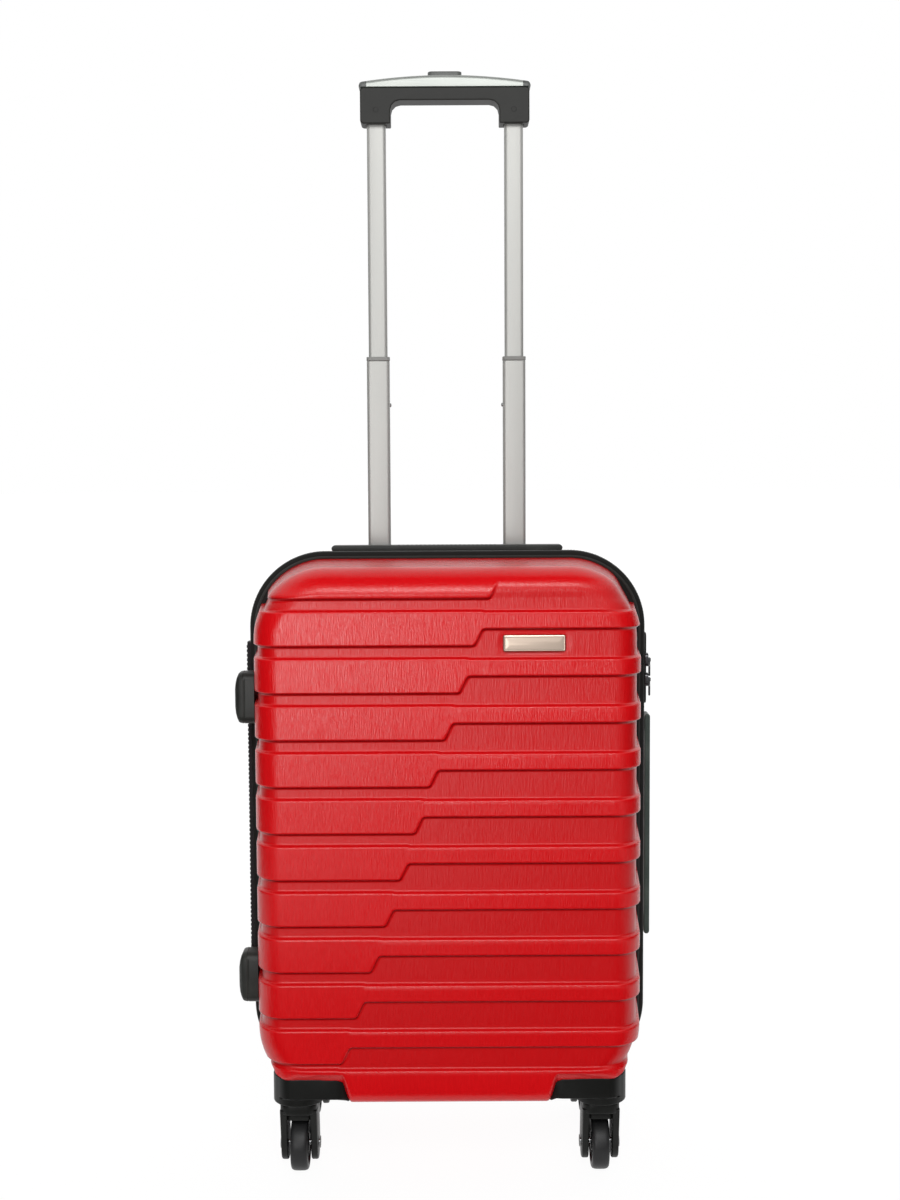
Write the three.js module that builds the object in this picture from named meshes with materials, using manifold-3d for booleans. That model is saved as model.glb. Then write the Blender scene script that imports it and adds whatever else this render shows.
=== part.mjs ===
// Hard shell cabin suitcase on four spinner wheels, with a two-stage pull handle drawn out.
// Millimetres, +X to the right, +Y to the back, +Z up, origin on the floor under the middle.
import * as THREE from "three";
import { mergeVertices } from "three/addons/utils/BufferGeometryUtils.js";
import Module from "manifold-3d";

const wasm = await Module();
wasm.setup();

// ---------------------------------------------------------------- driving dimensions

const CASE_WIDTH = 344; // hard shell across its rims
const CASE_HEIGHT = 470.5; // hard shell at its rims, without tape, handles and wheels
const CASE_DEPTH = 204; // front face to back face
const RIM_RADIUS = 62; // corner of the outline at the rims
const SIDE_DRAFT = 5; // how much each side leans in from rim to rounded edge
const END_DRAFT = 3.5; // the same for top and underside
const EDGE_WIDTH = 24; // rounded edge, measured across the face
const EDGE_DEPTH = 30; // rounded edge, measured into the depth
const SHELL_WALL = 2.4;

const RIB_RELIEF = 3.5; // how far the ribs stand above the grooves
const RIB_PITCH = 40.3;
const FIRST_RIB_DROP = 39.5; // rim top to the top of the first full rib
const LAST_PANEL_HEIGHT = 33.3; // rim underside to the top of the foot panel
const RIB_LEFT_HEIGHT = 30.3;
const RIB_RIGHT_HEIGHT = 15.8;
const STEP_START = 39.6; // where the top rib steps from its low part to its high part
const STEP_SHIFT = 12.9; // each step lies this much further left
const STEP_SLANT = 7;
const PLAIN_RIM = 9; // no ribs this close to the zip

const TAPE_STAND = 6.5; // zip tape beyond the shell
const TAPE_WIDTH = 6.6; // of each half
const SPLIT_GAP = 0.8; // between the two halves
const HINGE_STRIP = { thick: 2.6, width: 13, margin: 75 };

const WHEEL_RADIUS = 24.3;
const WHEEL_WIDTH = 15.3;
const WHEEL_SIDE_GAP = 2.7;
const CHEEK_THICKNESS = 7.4;
const AXLE_RADIUS = 2.5;
const HUB_RADIUS = 8;
const CASTER_TRAIL = 8;
const CASTER_SPACING = 265;
const CASTER_SPREAD = 146; // front stems to back stems
const FORK_HEIGHT = 13.1; // top of the wheel to the top of the fork
const FORK_BOSS_RADIUS = 16.5;
const STEM_RADIUS = 6;
const STEM_LENGTH = 9;
const HOUSING_NECK_RADIUS = 22.5;
const HOUSING_DROP = 7.8; // fork to shell
const HOUSING_SPAN = 63; // along X
const HOUSING_REACH = 17; // past the wheel's middle, outwards
const HOUSING_RISE = 18; // front lip above the shell's underside
const HOUSING_DEPTH = 66;
const HOUSING_INSET = 5; // lip behind the face

const FOOT = { height: 45.5, width: 26, crown: 0.72, y: 45, drop: 119.5, rise: 101.2 };
const FOOT_STAND = 15; // beyond the shell's rim

const BADGE = { width: 53.3, height: 14.4, thick: 2.2, x: 73.8 };

const POLE_SPACING = 128;
const POLE_SETBACK = 20; // from the back face
const INNER_TUBE = { x: 17.6, y: 10.6 };
const TUBE_WALL = 1.0;
const OUTER_TUBE_WALL = 1.5;
const INNER_TUBE_PLAY = 0.85;
const MIDDLE_TUBE_PLAY = 0.35;
const TUBE_CORNER = 3.2;
const MIDDLE_RISE = 177.5; // collar above the bezel when drawn out
const INNER_RISE = 213.5; // grip above the collar when drawn out
const MIDDLE_OVERLAP = 112.5; // middle tube that stays below the bezel
const INNER_OVERLAP = 57; // inner tube that stays below the collar
const COLLAR_HEIGHT = 3.5;
const COLLAR_STAND = 0.25;
const CLIP_RISE = 12; // lock pin above the tube's lower end
const CLIP_PIN_RADIUS = 2.6;
const CLIP_PIN_STAND = 1.5;
const CLIP_LEAF = { height: 14, width: 6, thick: 1.2 };
const BEZEL = { width: 172, depth: 28, above: 7.5, below: 24, corner: 8 };
const BRACKET = { width: 166, depth: 24, height: 18, floor: 22, base: 3 };

const GRIP_WIDTH = 157;
const GRIP_DEPTH = 25;
const GRIP_LEG_WIDTH = 28;
const GRIP_LEG_HEIGHT = 21;
const GRIP_BEAM_HEIGHT = 12;
const GRIP_CORNER = 9;
const COVER_HEIGHT = 11;
const COVER_END_HEIGHT = 5;
const COVER_LIP = 1;
const BUTTON = { width: 31.5, depth: 13, stand: 5, corner: 4, travel: 3 };
const RELEASE_BAR = { height: 3.5, depth: 8 };
const ROD_RADIUS = 2.4;
const ROD_CLEAR = 16; // rod's lower end above the lock pin

const CARRY = { width: 20, thick: 5.2, leg: 10, plate: 1.8, socketDepth: 15 };
const TOP_CARRY = { length: 211, y: 25, stand: 11.6 };
const SIDE_CARRY = { length: 207, y: 33, lockGap: 12, stand: 17.3 };
const CARRY_WINDOW_MARGIN = 34;

const LOCK = { height: 65, depth: 24, y: 21, drop: 102.5, stand: 9.5, corner: 4 };
const DIAL = { radius: 5.2, width: 5, count: 3, gap: 0.5, stand: 1.3, drop: 12 };
const LOCK_SLIDE = { height: 8, width: 7, thick: 2.6, travel: 4, rise: 18 };
const SLIDER = { length: 12, width: 11, thick: 3, gap: 6 };
const PULL = { length: 15, width: 5, thick: 1.4, lug: 1.4, eye: 1.0 };

const LINING_WALL = 1.2;
const LINING_GAP = 0.8;

const GAP = 0.3; // between pieces that rest on each other
const RUN_GAP = 0.35; // between pieces that slide or turn
const OVERCUT = 1; // how far a cutter passes a face

// ---------------------------------------------------------------- places that follow

const AXLE_Z = WHEEL_RADIUS;
const FORK_TOP = 2 * WHEEL_RADIUS + FORK_HEIGHT;
const SHELL_FLOOR = FORK_TOP + HOUSING_DROP;
const SHELL_TOP = SHELL_FLOOR + CASE_HEIGHT;
const FACE_Y = CASE_DEPTH / 2;
const RIM_X = CASE_WIDTH / 2;
const POLE_X = POLE_SPACING / 2;
const POLE_Y = FACE_Y - POLE_SETBACK;
const BEZEL_TOP = SHELL_TOP + BEZEL.above;
const COLLAR_TOP = BEZEL_TOP + MIDDLE_RISE;
const LEG_BOTTOM = COLLAR_TOP + 0.5 + INNER_RISE;
const BEAM_BOTTOM = LEG_BOTTOM + GRIP_LEG_HEIGHT;
const COVER_BASE = BEAM_BOTTOM + GRIP_BEAM_HEIGHT;
const MIDDLE_TUBE = growSection(INNER_TUBE, TUBE_WALL + INNER_TUBE_PLAY);
const OUTER_TUBE = growSection(MIDDLE_TUBE, OUTER_TUBE_WALL + MIDDLE_TUBE_PLAY);
const TAPE_FACE_X = RIM_X + TAPE_STAND;

function growSection(section, amount) {
  return { x: section.x + 2 * amount, y: section.y + 2 * amount };
}

// ---------------------------------------------------------------- finishes

const finish = (color, roughness, metalness = 0) =>
  new THREE.MeshStandardMaterial({ color, roughness, metalness });

const RED_SHELL = finish(0xb8070f, 0.3);
const BLACK_PLASTIC = finish(0x17181a, 0.5);
const BLACK_TAPE = finish(0x121314, 0.85);
const BLACK_RUBBER = finish(0x1c1c1d, 0.7);
const SATIN_ALUMINIUM = finish(0xb4b5b5, 0.35, 1);
const SILVER_COVER = finish(0xc4c8c6, 0.28, 0.6);
const CHAMPAGNE = finish(0xcbb9a2, 0.3, 0.9);
const GREY_LINING = finish(0x4c4f55, 0.95);
const SPRING_STEEL = finish(0x8d8f92, 0.35, 1);
const GREY_PLASTIC = finish(0x55605a, 0.5);

// ---------------------------------------------------------------- solid helpers

/** A closed geometry as a manifold solid, turned so that its faces point outwards. */
function solid(geometry) {
  const bare = geometry.clone();
  bare.deleteAttribute("normal");
  bare.deleteAttribute("uv");
  const merged = mergeVertices(bare, 1e-4);
  const vertProperties = Float32Array.from(merged.attributes.position.array);
  const triVerts = Uint32Array.from(merged.index.array);
  const at = (i) => new THREE.Vector3().fromArray(vertProperties, 3 * i);
  let volume = 0;
  for (let t = 0; t < triVerts.length; t += 3) {
    volume += at(triVerts[t]).dot(at(triVerts[t + 1]).cross(at(triVerts[t + 2])));
  }
  if (volume < 0) {
    for (let t = 0; t < triVerts.length; t += 3) {
      [triVerts[t], triVerts[t + 1]] = [triVerts[t + 1], triVerts[t]];
    }
  }
  return new wasm.Manifold(new wasm.Mesh({ numProp: 3, vertProperties, triVerts }));
}

/** A named mesh of a manifold solid. */
function piece(name, body, material) {
  const out = body.getMesh();
  const geometry = new THREE.BufferGeometry();
  geometry.setAttribute("position", new THREE.BufferAttribute(out.vertProperties, 3));
  geometry.setIndex(new THREE.BufferAttribute(out.triVerts, 1));
  geometry.computeVertexNormals();
  const mesh = new THREE.Mesh(geometry, material);
  mesh.name = name;
  return mesh;
}

/** The corners of a rounded rectangle centred on the origin, arcs as short chords. */
function roundedRectangle(width, height, radius, arcSteps = 4) {
  const r = Math.min(radius, width / 2 - 0.01, height / 2 - 0.01);
  const points = [];
  for (let corner = 0; corner < 4; corner++) {
    const sx = corner === 0 || corner === 3 ? 1 : -1;
    const sy = corner < 2 ? 1 : -1;
    for (let step = 0; step <= arcSteps; step++) {
      const angle = (corner + step / arcSteps) * (Math.PI / 2);
      const x = sx * (width / 2 - r) + r * Math.cos(angle);
      const y = sy * (height / 2 - r) + r * Math.sin(angle);
      points.push(new THREE.Vector2(x, y));
    }
  }
  return points;
}

const AXIS_PLACES = {
  x: (a, b, c) => [c, a, b],
  y: (a, b, c) => [a, c, b],
  z: (a, b, c) => [a, b, c],
};

/** An outline pushed along an axis from one level to another. */
function prism(points, axis, low, high) {
  const depth = high - low;
  const geometry = new THREE.ExtrudeGeometry(new THREE.Shape(points), {
    depth,
    steps: 1,
    bevelEnabled: false,
  });
  const position = geometry.attributes.position;
  for (let i = 0; i < position.count; i++) {
    const to = AXIS_PLACES[axis](position.getX(i), position.getY(i), position.getZ(i) + low);
    position.setXYZ(i, ...to);
  }
  return solid(geometry);
}

/** A block between two corners, its edges along an axis rounded. */
function block(low, high, axis = "z", radius = 0, arcSteps = 3) {
  const order = { x: [1, 2, 0], y: [0, 2, 1], z: [0, 1, 2] }[axis];
  const [a, b, c] = order;
  const width = high[a] - low[a];
  const height = high[b] - low[b];
  const outline = radius > 0
    ? roundedRectangle(width, height, radius, arcSteps)
    : [[1, 1], [-1, 1], [-1, -1], [1, -1]].map(
        ([sx, sy]) => new THREE.Vector2((sx * width) / 2, (sy * height) / 2)
      );
  const middle = new THREE.Vector2((low[a] + high[a]) / 2, (low[b] + high[b]) / 2);
  return prism(outline.map((p) => p.add(middle)), axis, low[c], high[c]);
}

/** A cylinder along an axis, given its middle line and its two ends. */
function rod(axis, centre, radius, low, high, sides = 20) {
  const points = [];
  for (let i = 0; i < sides; i++) {
    const angle = (i / sides) * 2 * Math.PI;
    points.push(
      new THREE.Vector2(centre[0] + radius * Math.cos(angle), centre[1] + radius * Math.sin(angle))
    );
  }
  return prism(points, axis, low, high);
}

/** A skin through rings of equal length, closed at both ends. */
function loft(rings) {
  const count = rings[0].length;
  const positions = [];
  const index = [];
  const fan = (ring, flip) => {
    const caps = THREE.ShapeUtils.triangulateShape(
      rings[ring].map((p) => new THREE.Vector2(p[0], p[2])),
      []
    );
    for (const [a, b, c] of caps) {
      const tri = flip ? [a, c, b] : [a, b, c];
      index.push(...tri.map((i) => ring * count + i));
    }
  };
  for (const ring of rings) {
    for (const p of ring) positions.push(...p);
  }
  for (let ring = 0; ring + 1 < rings.length; ring++) {
    for (let i = 0; i < count; i++) {
      const j = (i + 1) % count;
      const [a, b] = [ring * count + i, ring * count + j];
      const [c, d] = [a + count, b + count];
      index.push(a, b, c, b, d, c);
    }
  }
  fan(0, true);
  fan(rings.length - 1, false);
  const geometry = new THREE.BufferGeometry();
  geometry.setAttribute("position", new THREE.Float32BufferAttribute(positions, 3));
  geometry.setIndex(index);
  return solid(geometry);
}

// ---------------------------------------------------------------- the two hard shells

const RIM_ARC_STEPS = 7;
const EDGE_STEPS = 4;

/** One outline of a half, in the X-Z plane: drawn in by the draft and by an inset. */
function outlineRing(y, draft, inset, grow) {
  const width = CASE_WIDTH - 2 * (SIDE_DRAFT * draft + inset - grow);
  const height = CASE_HEIGHT - 2 * (END_DRAFT * draft + inset - grow);
  const radius = RIM_RADIUS - inset + grow;
  const middle = (SHELL_FLOOR + SHELL_TOP) / 2;
  return roundedRectangle(width, height, radius, RIM_ARC_STEPS).map((p) => [p.x, y, p.y + middle]);
}

/** The outer form of one half as a full solid. side is -1 in front and +1 at the back. */
function halfForm(side, grow, rimY = SPLIT_GAP / 2) {
  const straight = FACE_Y - EDGE_DEPTH;
  const rings = [outlineRing(side * rimY, rimY / straight, 0, grow)];
  for (let step = 0; step <= EDGE_STEPS; step++) {
    const angle = (step / EDGE_STEPS) * (Math.PI / 2);
    const y = straight + (EDGE_DEPTH + grow) * Math.sin(angle);
    rings.push(outlineRing(side * y, 1, EDGE_WIDTH * (1 - Math.cos(angle)), grow));
  }
  return loft(rings);
}

/** The levels at which the ribs begin, from the top down, ending at the foot panel. */
function ribTops() {
  const last = SHELL_FLOOR + LAST_PANEL_HEIGHT;
  const tops = [];
  for (let top = SHELL_TOP - FIRST_RIB_DROP; top > last + RIB_PITCH / 3; top -= RIB_PITCH) {
    tops.push(top);
  }
  return [...tops, last];
}

/** The raised areas of a shell: stepped ribs, a plain top and a plain foot panel. */
function raisedAreas(side) {
  const tops = ribTops();
  const reach = CASE_WIDTH;
  const outlines = [];
  for (let k = 0; k < tops.length; k++) {
    const ceiling = k === 0 ? SHELL_TOP + reach : tops[k - 1];
    const left = k === 0 ? tops[0] + RIB_PITCH - RIB_LEFT_HEIGHT : ceiling - RIB_LEFT_HEIGHT;
    const right = left + RIB_LEFT_HEIGHT - RIB_RIGHT_HEIGHT;
    const step = STEP_START - STEP_SHIFT * k;
    outlines.push([
      [-reach, ceiling],
      [-reach, left],
      [step - STEP_SLANT / 2, left],
      [step + STEP_SLANT / 2, right],
      [reach, right],
      [reach, ceiling],
    ]);
  }
  const foot = tops[tops.length - 1];
  outlines.push([[-reach, foot], [-reach, -reach], [reach, -reach], [reach, foot]]);
  const [low, high] = [side * PLAIN_RIM, side * (FACE_Y + OVERCUT)].sort((a, b) => a - b);
  return outlines
    .map((outline) => prism(outline.map((p) => new THREE.Vector2(...p)), "y", low, high))
    .reduce((all, one) => all.add(one));
}

/** One ribbed shell, open at the zip. */
function shell(side) {
  const ribs = halfForm(side, 0).intersect(raisedAreas(side));
  const hollow = halfForm(side, -RIB_RELIEF - SHELL_WALL, -OVERCUT);
  return halfForm(side, -RIB_RELIEF).add(ribs).subtract(hollow);
}

/** The tape that carries the zip round one half. */
function zipTape(side) {
  const ring = (y, grow) => outlineRing(side * y, 0, 0, grow);
  const near = SPLIT_GAP / 2;
  const outer = loft([ring(near, TAPE_STAND), ring(near + TAPE_WIDTH, TAPE_STAND - 1)]);
  const inner = loft([ring(near - OVERCUT, GAP), ring(near + TAPE_WIDTH + OVERCUT, GAP)]);
  return outer.subtract(inner);
}

/** Where the side of a shell lies at a distance from the split. */
function sideX(y) {
  return RIM_X - SIDE_DRAFT * (y / (FACE_Y - EDGE_DEPTH));
}

/** Where the top of a shell lies at a distance from the split. */
function topZ(y) {
  return SHELL_TOP - END_DRAFT * (y / (FACE_Y - EDGE_DEPTH));
}

/** A tapered rubber foot on the hinge side. */
function sideFoot(side, middleZ) {
  const root = sideX(FOOT.y) - RIB_RELIEF - SHELL_WALL;
  const tip = RIM_X + FOOT_STAND;
  const ring = (x, share) =>
    roundedRectangle(FOOT.width * share, FOOT.height * share, 8, 3).map((p) => [
      p.x + side * FOOT.y,
      x,
      p.y + middleZ,
    ]);
  const rings = [ring(root, 1), ring(tip - 4, 1), ring(tip, FOOT.crown)];
  const body = loft(rings);
  const turned = body.transform([0, 1, 0, 0, -1, 0, 0, 0, 0, 0, 1, 0, 0, 0, 0, 1]);
  return turned.subtract(halfForm(side, GAP, -OVERCUT));
}

// ---------------------------------------------------------------- casters

const STEM_TOP = FORK_TOP + STEM_LENGTH;

/** A corner plate and neck that holds one caster's stem. xSide and ySide give the corner. */
function casterHousing(xSide, ySide) {
  const x = (xSide * CASTER_SPACING) / 2;
  const y = (ySide * CASTER_SPREAD) / 2;
  const outer = xSide * (CASTER_SPACING / 2 + HOUSING_REACH);
  const inner = outer - xSide * HOUSING_SPAN;
  const front = ySide * (FACE_Y - HOUSING_INSET);
  const back = front - ySide * HOUSING_DEPTH;
  const low = [Math.min(outer, inner), Math.min(front, back), SHELL_FLOOR - 0.5];
  const high = [Math.max(outer, inner), Math.max(front, back), SHELL_FLOOR + HOUSING_RISE];
  const neck = rod("z", [x, y], HOUSING_NECK_RADIUS, FORK_TOP + GAP, SHELL_FLOOR + HOUSING_RISE, 32);
  const bore = rod("z", [x, y], STEM_RADIUS + RUN_GAP, FORK_TOP - OVERCUT, STEM_TOP + RUN_GAP);
  return block(low, high, "z", 12)
    .add(neck)
    .subtract(halfForm(ySide, GAP, -OVERCUT))
    .subtract(bore);
}

/** The swivelling fork, about its own stem. */
function fork() {
  const half = WHEEL_WIDTH / 2 + WHEEL_SIDE_GAP + CHEEK_THICKNESS;
  const side = [];
  const arcSteps = 10;
  for (let i = 0; i <= arcSteps; i++) {
    const angle = Math.PI + (i / arcSteps) * Math.PI;
    side.push(
      new THREE.Vector2(
        CASTER_TRAIL + FORK_BOSS_RADIUS * Math.cos(angle),
        AXLE_Z + FORK_BOSS_RADIUS * Math.sin(angle)
      )
    );
  }
  side.push(new THREE.Vector2(CASTER_TRAIL + FORK_BOSS_RADIUS - 2, FORK_TOP - 6));
  side.push(new THREE.Vector2(CASTER_TRAIL + FORK_BOSS_RADIUS - 6, FORK_TOP));
  side.push(new THREE.Vector2(-HOUSING_NECK_RADIUS + 4, FORK_TOP));
  side.push(new THREE.Vector2(-HOUSING_NECK_RADIUS + 3, FORK_TOP - 7));
  const slotHalf = WHEEL_WIDTH / 2 + WHEEL_SIDE_GAP;
  const slot = rod("x", [CASTER_TRAIL, AXLE_Z], WHEEL_RADIUS + 1.8, -slotHalf, slotHalf, 32);
  const bore = rod("x", [CASTER_TRAIL, AXLE_Z], AXLE_RADIUS + GAP / 2, -half - 1, half + 1, 16);
  const stem = rod("z", [0, 0], STEM_RADIUS, FORK_TOP - OVERCUT, STEM_TOP);
  return prism(side, "x", -half, half).subtract(slot).subtract(bore).add(stem);
}

/** A wheel with a crowned tread and a dished hub, its axle along X. */
function wheel() {
  const half = WHEEL_WIDTH / 2;
  const bore = AXLE_RADIUS + RUN_GAP;
  const profile = [
    [bore, -half],
    [HUB_RADIUS, -half],
    [HUB_RADIUS + 2, -half + 1.6],
    [WHEEL_RADIUS - 6, -half + 1.6],
    [WHEEL_RADIUS - 4, -half],
    [WHEEL_RADIUS - 0.9, -half + 1.4],
    [WHEEL_RADIUS, 0],
    [WHEEL_RADIUS - 0.9, half - 1.4],
    [WHEEL_RADIUS - 4, half],
    [WHEEL_RADIUS - 6, half - 1.6],
    [HUB_RADIUS + 2, half - 1.6],
    [HUB_RADIUS, half],
    [bore, half],
    [bore, -half],
  ].map((p) => new THREE.Vector2(...p));
  const geometry = new THREE.LatheGeometry(profile, 28);
  geometry.rotateZ(Math.PI / 2);
  return solid(geometry);
}

/** One caster: fork, wheel and axle in a group that stands on its place. */
function caster(corner, xSide, ySide) {
  const group = new THREE.Group();
  group.position.set((xSide * CASTER_SPACING) / 2, (ySide * CASTER_SPREAD) / 2, 0);
  group.rotation.z = ySide > 0 ? Math.PI : 0; // both wheels of a side trail inwards
  const hub = new THREE.Group();
  hub.position.set(0, CASTER_TRAIL, AXLE_Z);
  const axleHalf = WHEEL_WIDTH / 2 + WHEEL_SIDE_GAP + CHEEK_THICKNESS - 0.5;
  group.add(piece(`${corner}_fork`, fork(), BLACK_PLASTIC));
  hub.add(piece(`${corner}_wheel`, wheel(), BLACK_RUBBER));
  hub.add(piece(`${corner}_axle`, rod("x", [0, 0], AXLE_RADIUS, -axleHalf, axleHalf, 16), SPRING_STEEL));
  group.add(hub);
  return group;
}

// ---------------------------------------------------------------- telescopic handle

/** A rounded rectangular tube with its middle line on the origin, between two levels. */
function tube(section, wall, low, high, arcSteps = 3) {
  const outer = roundedRectangle(section.x, section.y, TUBE_CORNER, arcSteps);
  const inner = roundedRectangle(
    section.x - 2 * wall,
    section.y - 2 * wall,
    Math.max(TUBE_CORNER - wall, 0.8),
    arcSteps
  );
  return prism(outer, "z", low, high).subtract(prism(inner, "z", low - OVERCUT, high + OVERCUT));
}

/** A pin hole through the wall that faces the other pole. */
function pinHole(body, inward, z) {
  const [low, high] = inward > 0 ? [0, OUTER_TUBE.x] : [-OUTER_TUBE.x, 0];
  return body.subtract(rod("x", [0, z], CLIP_PIN_RADIUS + RUN_GAP, low, high, 12));
}

/** A spring leaf inside a tube, with the pin that snaps through the tube around it. */
function lockClip(inward, z, insideSection, around) {
  const leafOut = insideSection.x / 2 - TUBE_WALL - RUN_GAP;
  const leafIn = leafOut - CLIP_LEAF.thick;
  const span = (a, b) => (inward > 0 ? [a, b] : [-b, -a]);
  const [x0, x1] = span(leafIn, leafOut);
  const [p0, p1] = span(leafIn + 0.2, around.x / 2 + CLIP_PIN_STAND);
  const half = CLIP_LEAF.width / 2;
  const leaf = block([x0, -half, z - CLIP_LEAF.height / 2], [x1, half, z + CLIP_LEAF.height / 2]);
  return leaf.add(rod("x", [0, z], CLIP_PIN_RADIUS, p0, p1, 12));
}

/** The fixed tube, the two sliding tubes, the collar and the lock clips of one pole. */
function pole(name, inward) {
  const group = new THREE.Group();
  group.position.set(-inward * POLE_X, POLE_Y, 0);
  const outerLow = SHELL_FLOOR + BRACKET.floor + BRACKET.base;
  const middleLow = BEZEL_TOP - MIDDLE_OVERLAP;
  const innerLow = COLLAR_TOP - INNER_OVERLAP;
  const lowPin = middleLow + CLIP_RISE;
  const highPin = innerLow + CLIP_RISE;
  const outerTop = BEZEL_TOP - COLLAR_HEIGHT - 1;
  const middleTop = COLLAR_TOP - COLLAR_HEIGHT - GAP;
  const innerTop = BEAM_BOTTOM - 2;
  const fixed = pinHole(tube(OUTER_TUBE, OUTER_TUBE_WALL, outerLow, outerTop), inward, lowPin);
  let middle = tube(MIDDLE_TUBE, TUBE_WALL, middleLow, middleTop);
  middle = pinHole(pinHole(middle, inward, lowPin), inward, highPin);
  const inner = pinHole(tube(INNER_TUBE, TUBE_WALL, innerLow, innerTop), inward, highPin);
  const collarWall = TUBE_WALL + INNER_TUBE_PLAY + COLLAR_STAND - RUN_GAP;
  const collar = tube(
    growSection(MIDDLE_TUBE, COLLAR_STAND), collarWall, COLLAR_TOP - COLLAR_HEIGHT, COLLAR_TOP
  );
  group.add(piece(`${name}_outer_tube`, fixed, SATIN_ALUMINIUM));
  group.add(piece(`${name}_middle_tube`, middle, SATIN_ALUMINIUM));
  group.add(piece(`${name}_inner_tube`, inner, SATIN_ALUMINIUM));
  group.add(piece(`${name}_collar`, collar, GREY_PLASTIC));
  group.add(
    piece(`${name}_lower_clip`, lockClip(inward, lowPin, MIDDLE_TUBE, OUTER_TUBE), SPRING_STEEL)
  );
  group.add(
    piece(`${name}_upper_clip`, lockClip(inward, highPin, INNER_TUBE, MIDDLE_TUBE), SPRING_STEEL)
  );
  return group;
}

/** The plastic throat in the top of the back shell that the poles come out of. */
function trolleyBezel() {
  const half = BEZEL.width / 2;
  const low = [-half, POLE_Y - BEZEL.depth / 2, SHELL_TOP - BEZEL.below];
  const high = [half, POLE_Y + BEZEL.depth / 2, BEZEL_TOP];
  let body = block(low, high, "z", BEZEL.corner);
  const seat = growSection(OUTER_TUBE, GAP);
  const throat = growSection(MIDDLE_TUBE, COLLAR_STAND + RUN_GAP);
  for (const x of [-POLE_X, POLE_X]) {
    const cut = (section, from, to) =>
      block(
        [x - section.x / 2, POLE_Y - section.y / 2, from],
        [x + section.x / 2, POLE_Y + section.y / 2, to],
        "z",
        TUBE_CORNER
      );
    body = body.subtract(cut(seat, low[2] - OVERCUT, BEZEL_TOP - COLLAR_HEIGHT - 0.5));
    body = body.subtract(cut(throat, low[2] - OVERCUT, BEZEL_TOP + OVERCUT));
  }
  return body;
}

/** The bezel's outline grown by a gap, to cut its seat in the shell. */
function bezelCutter() {
  const half = BEZEL.width / 2 + GAP;
  const low = [-half, POLE_Y - BEZEL.depth / 2 - GAP, SHELL_TOP - BEZEL.below - GAP];
  const high = [half, POLE_Y + BEZEL.depth / 2 + GAP, BEZEL_TOP + OVERCUT];
  return block(low, high, "z", BEZEL.corner + GAP);
}

/** The block inside the back shell that the fixed tubes stand in. */
function tubeFootBracket() {
  const half = BRACKET.width / 2;
  const floor = SHELL_FLOOR + BRACKET.floor;
  let body = block(
    [-half, POLE_Y - BRACKET.depth / 2, floor],
    [half, POLE_Y + BRACKET.depth / 2, floor + BRACKET.height]
  );
  const seat = growSection(OUTER_TUBE, GAP);
  for (const x of [-POLE_X, POLE_X]) {
    body = body.subtract(
      block(
        [x - seat.x / 2, POLE_Y - seat.y / 2, floor + BRACKET.base - GAP],
        [x + seat.x / 2, POLE_Y + seat.y / 2, floor + BRACKET.height + OVERCUT],
        "z",
        TUBE_CORNER
      )
    );
  }
  return body.intersect(halfForm(1, -RIB_RELIEF - SHELL_WALL - GAP));
}

/** The moulded grip: two legs that hold the inner tubes and a channelled beam. */
function gripBase() {
  const half = GRIP_WIDTH / 2;
  const legInner = half - GRIP_LEG_WIDTH;
  const [y0, y1] = [POLE_Y - GRIP_DEPTH / 2, POLE_Y + GRIP_DEPTH / 2];
  const outer = block([-half, y0, LEG_BOTTOM], [half, y1, COVER_BASE], "y", 3);
  const arch = block(
    [-legInner, y0 - OVERCUT, LEG_BOTTOM - GRIP_CORNER * 2],
    [legInner, y1 + OVERCUT, BEAM_BOTTOM],
    "y",
    GRIP_CORNER
  );
  const barHalf = POLE_X + ROD_RADIUS + 1;
  const channel = block(
    [-barHalf - 1, POLE_Y - RELEASE_BAR.depth / 2 - RUN_GAP * 2, BEAM_BOTTOM + 2],
    [barHalf + 1, POLE_Y + RELEASE_BAR.depth / 2 + RUN_GAP * 2, COVER_BASE + OVERCUT]
  );
  const buttonWell = block(
    [-BUTTON.width / 2 - RUN_GAP, POLE_Y - BUTTON.depth / 2 - RUN_GAP, BAR_TOP - BUTTON.travel - RUN_GAP],
    [BUTTON.width / 2 + RUN_GAP, POLE_Y + BUTTON.depth / 2 + RUN_GAP, COVER_BASE + OVERCUT]
  );
  let body = outer.subtract(arch).subtract(channel).subtract(buttonWell);
  const socket = growSection(INNER_TUBE, GAP);
  for (const x of [-POLE_X, POLE_X]) {
    const seat = block(
      [x - socket.x / 2, POLE_Y - socket.y / 2, LEG_BOTTOM - OVERCUT],
      [x + socket.x / 2, POLE_Y + socket.y / 2, BEAM_BOTTOM - 2 + GAP],
      "z",
      TUBE_CORNER
    );
    const rodHole = rod("z", [x, POLE_Y], ROD_RADIUS + RUN_GAP * 2, LEG_BOTTOM, COVER_BASE, 12);
    body = body.subtract(seat).subtract(rodHole);
  }
  return body;
}

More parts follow.
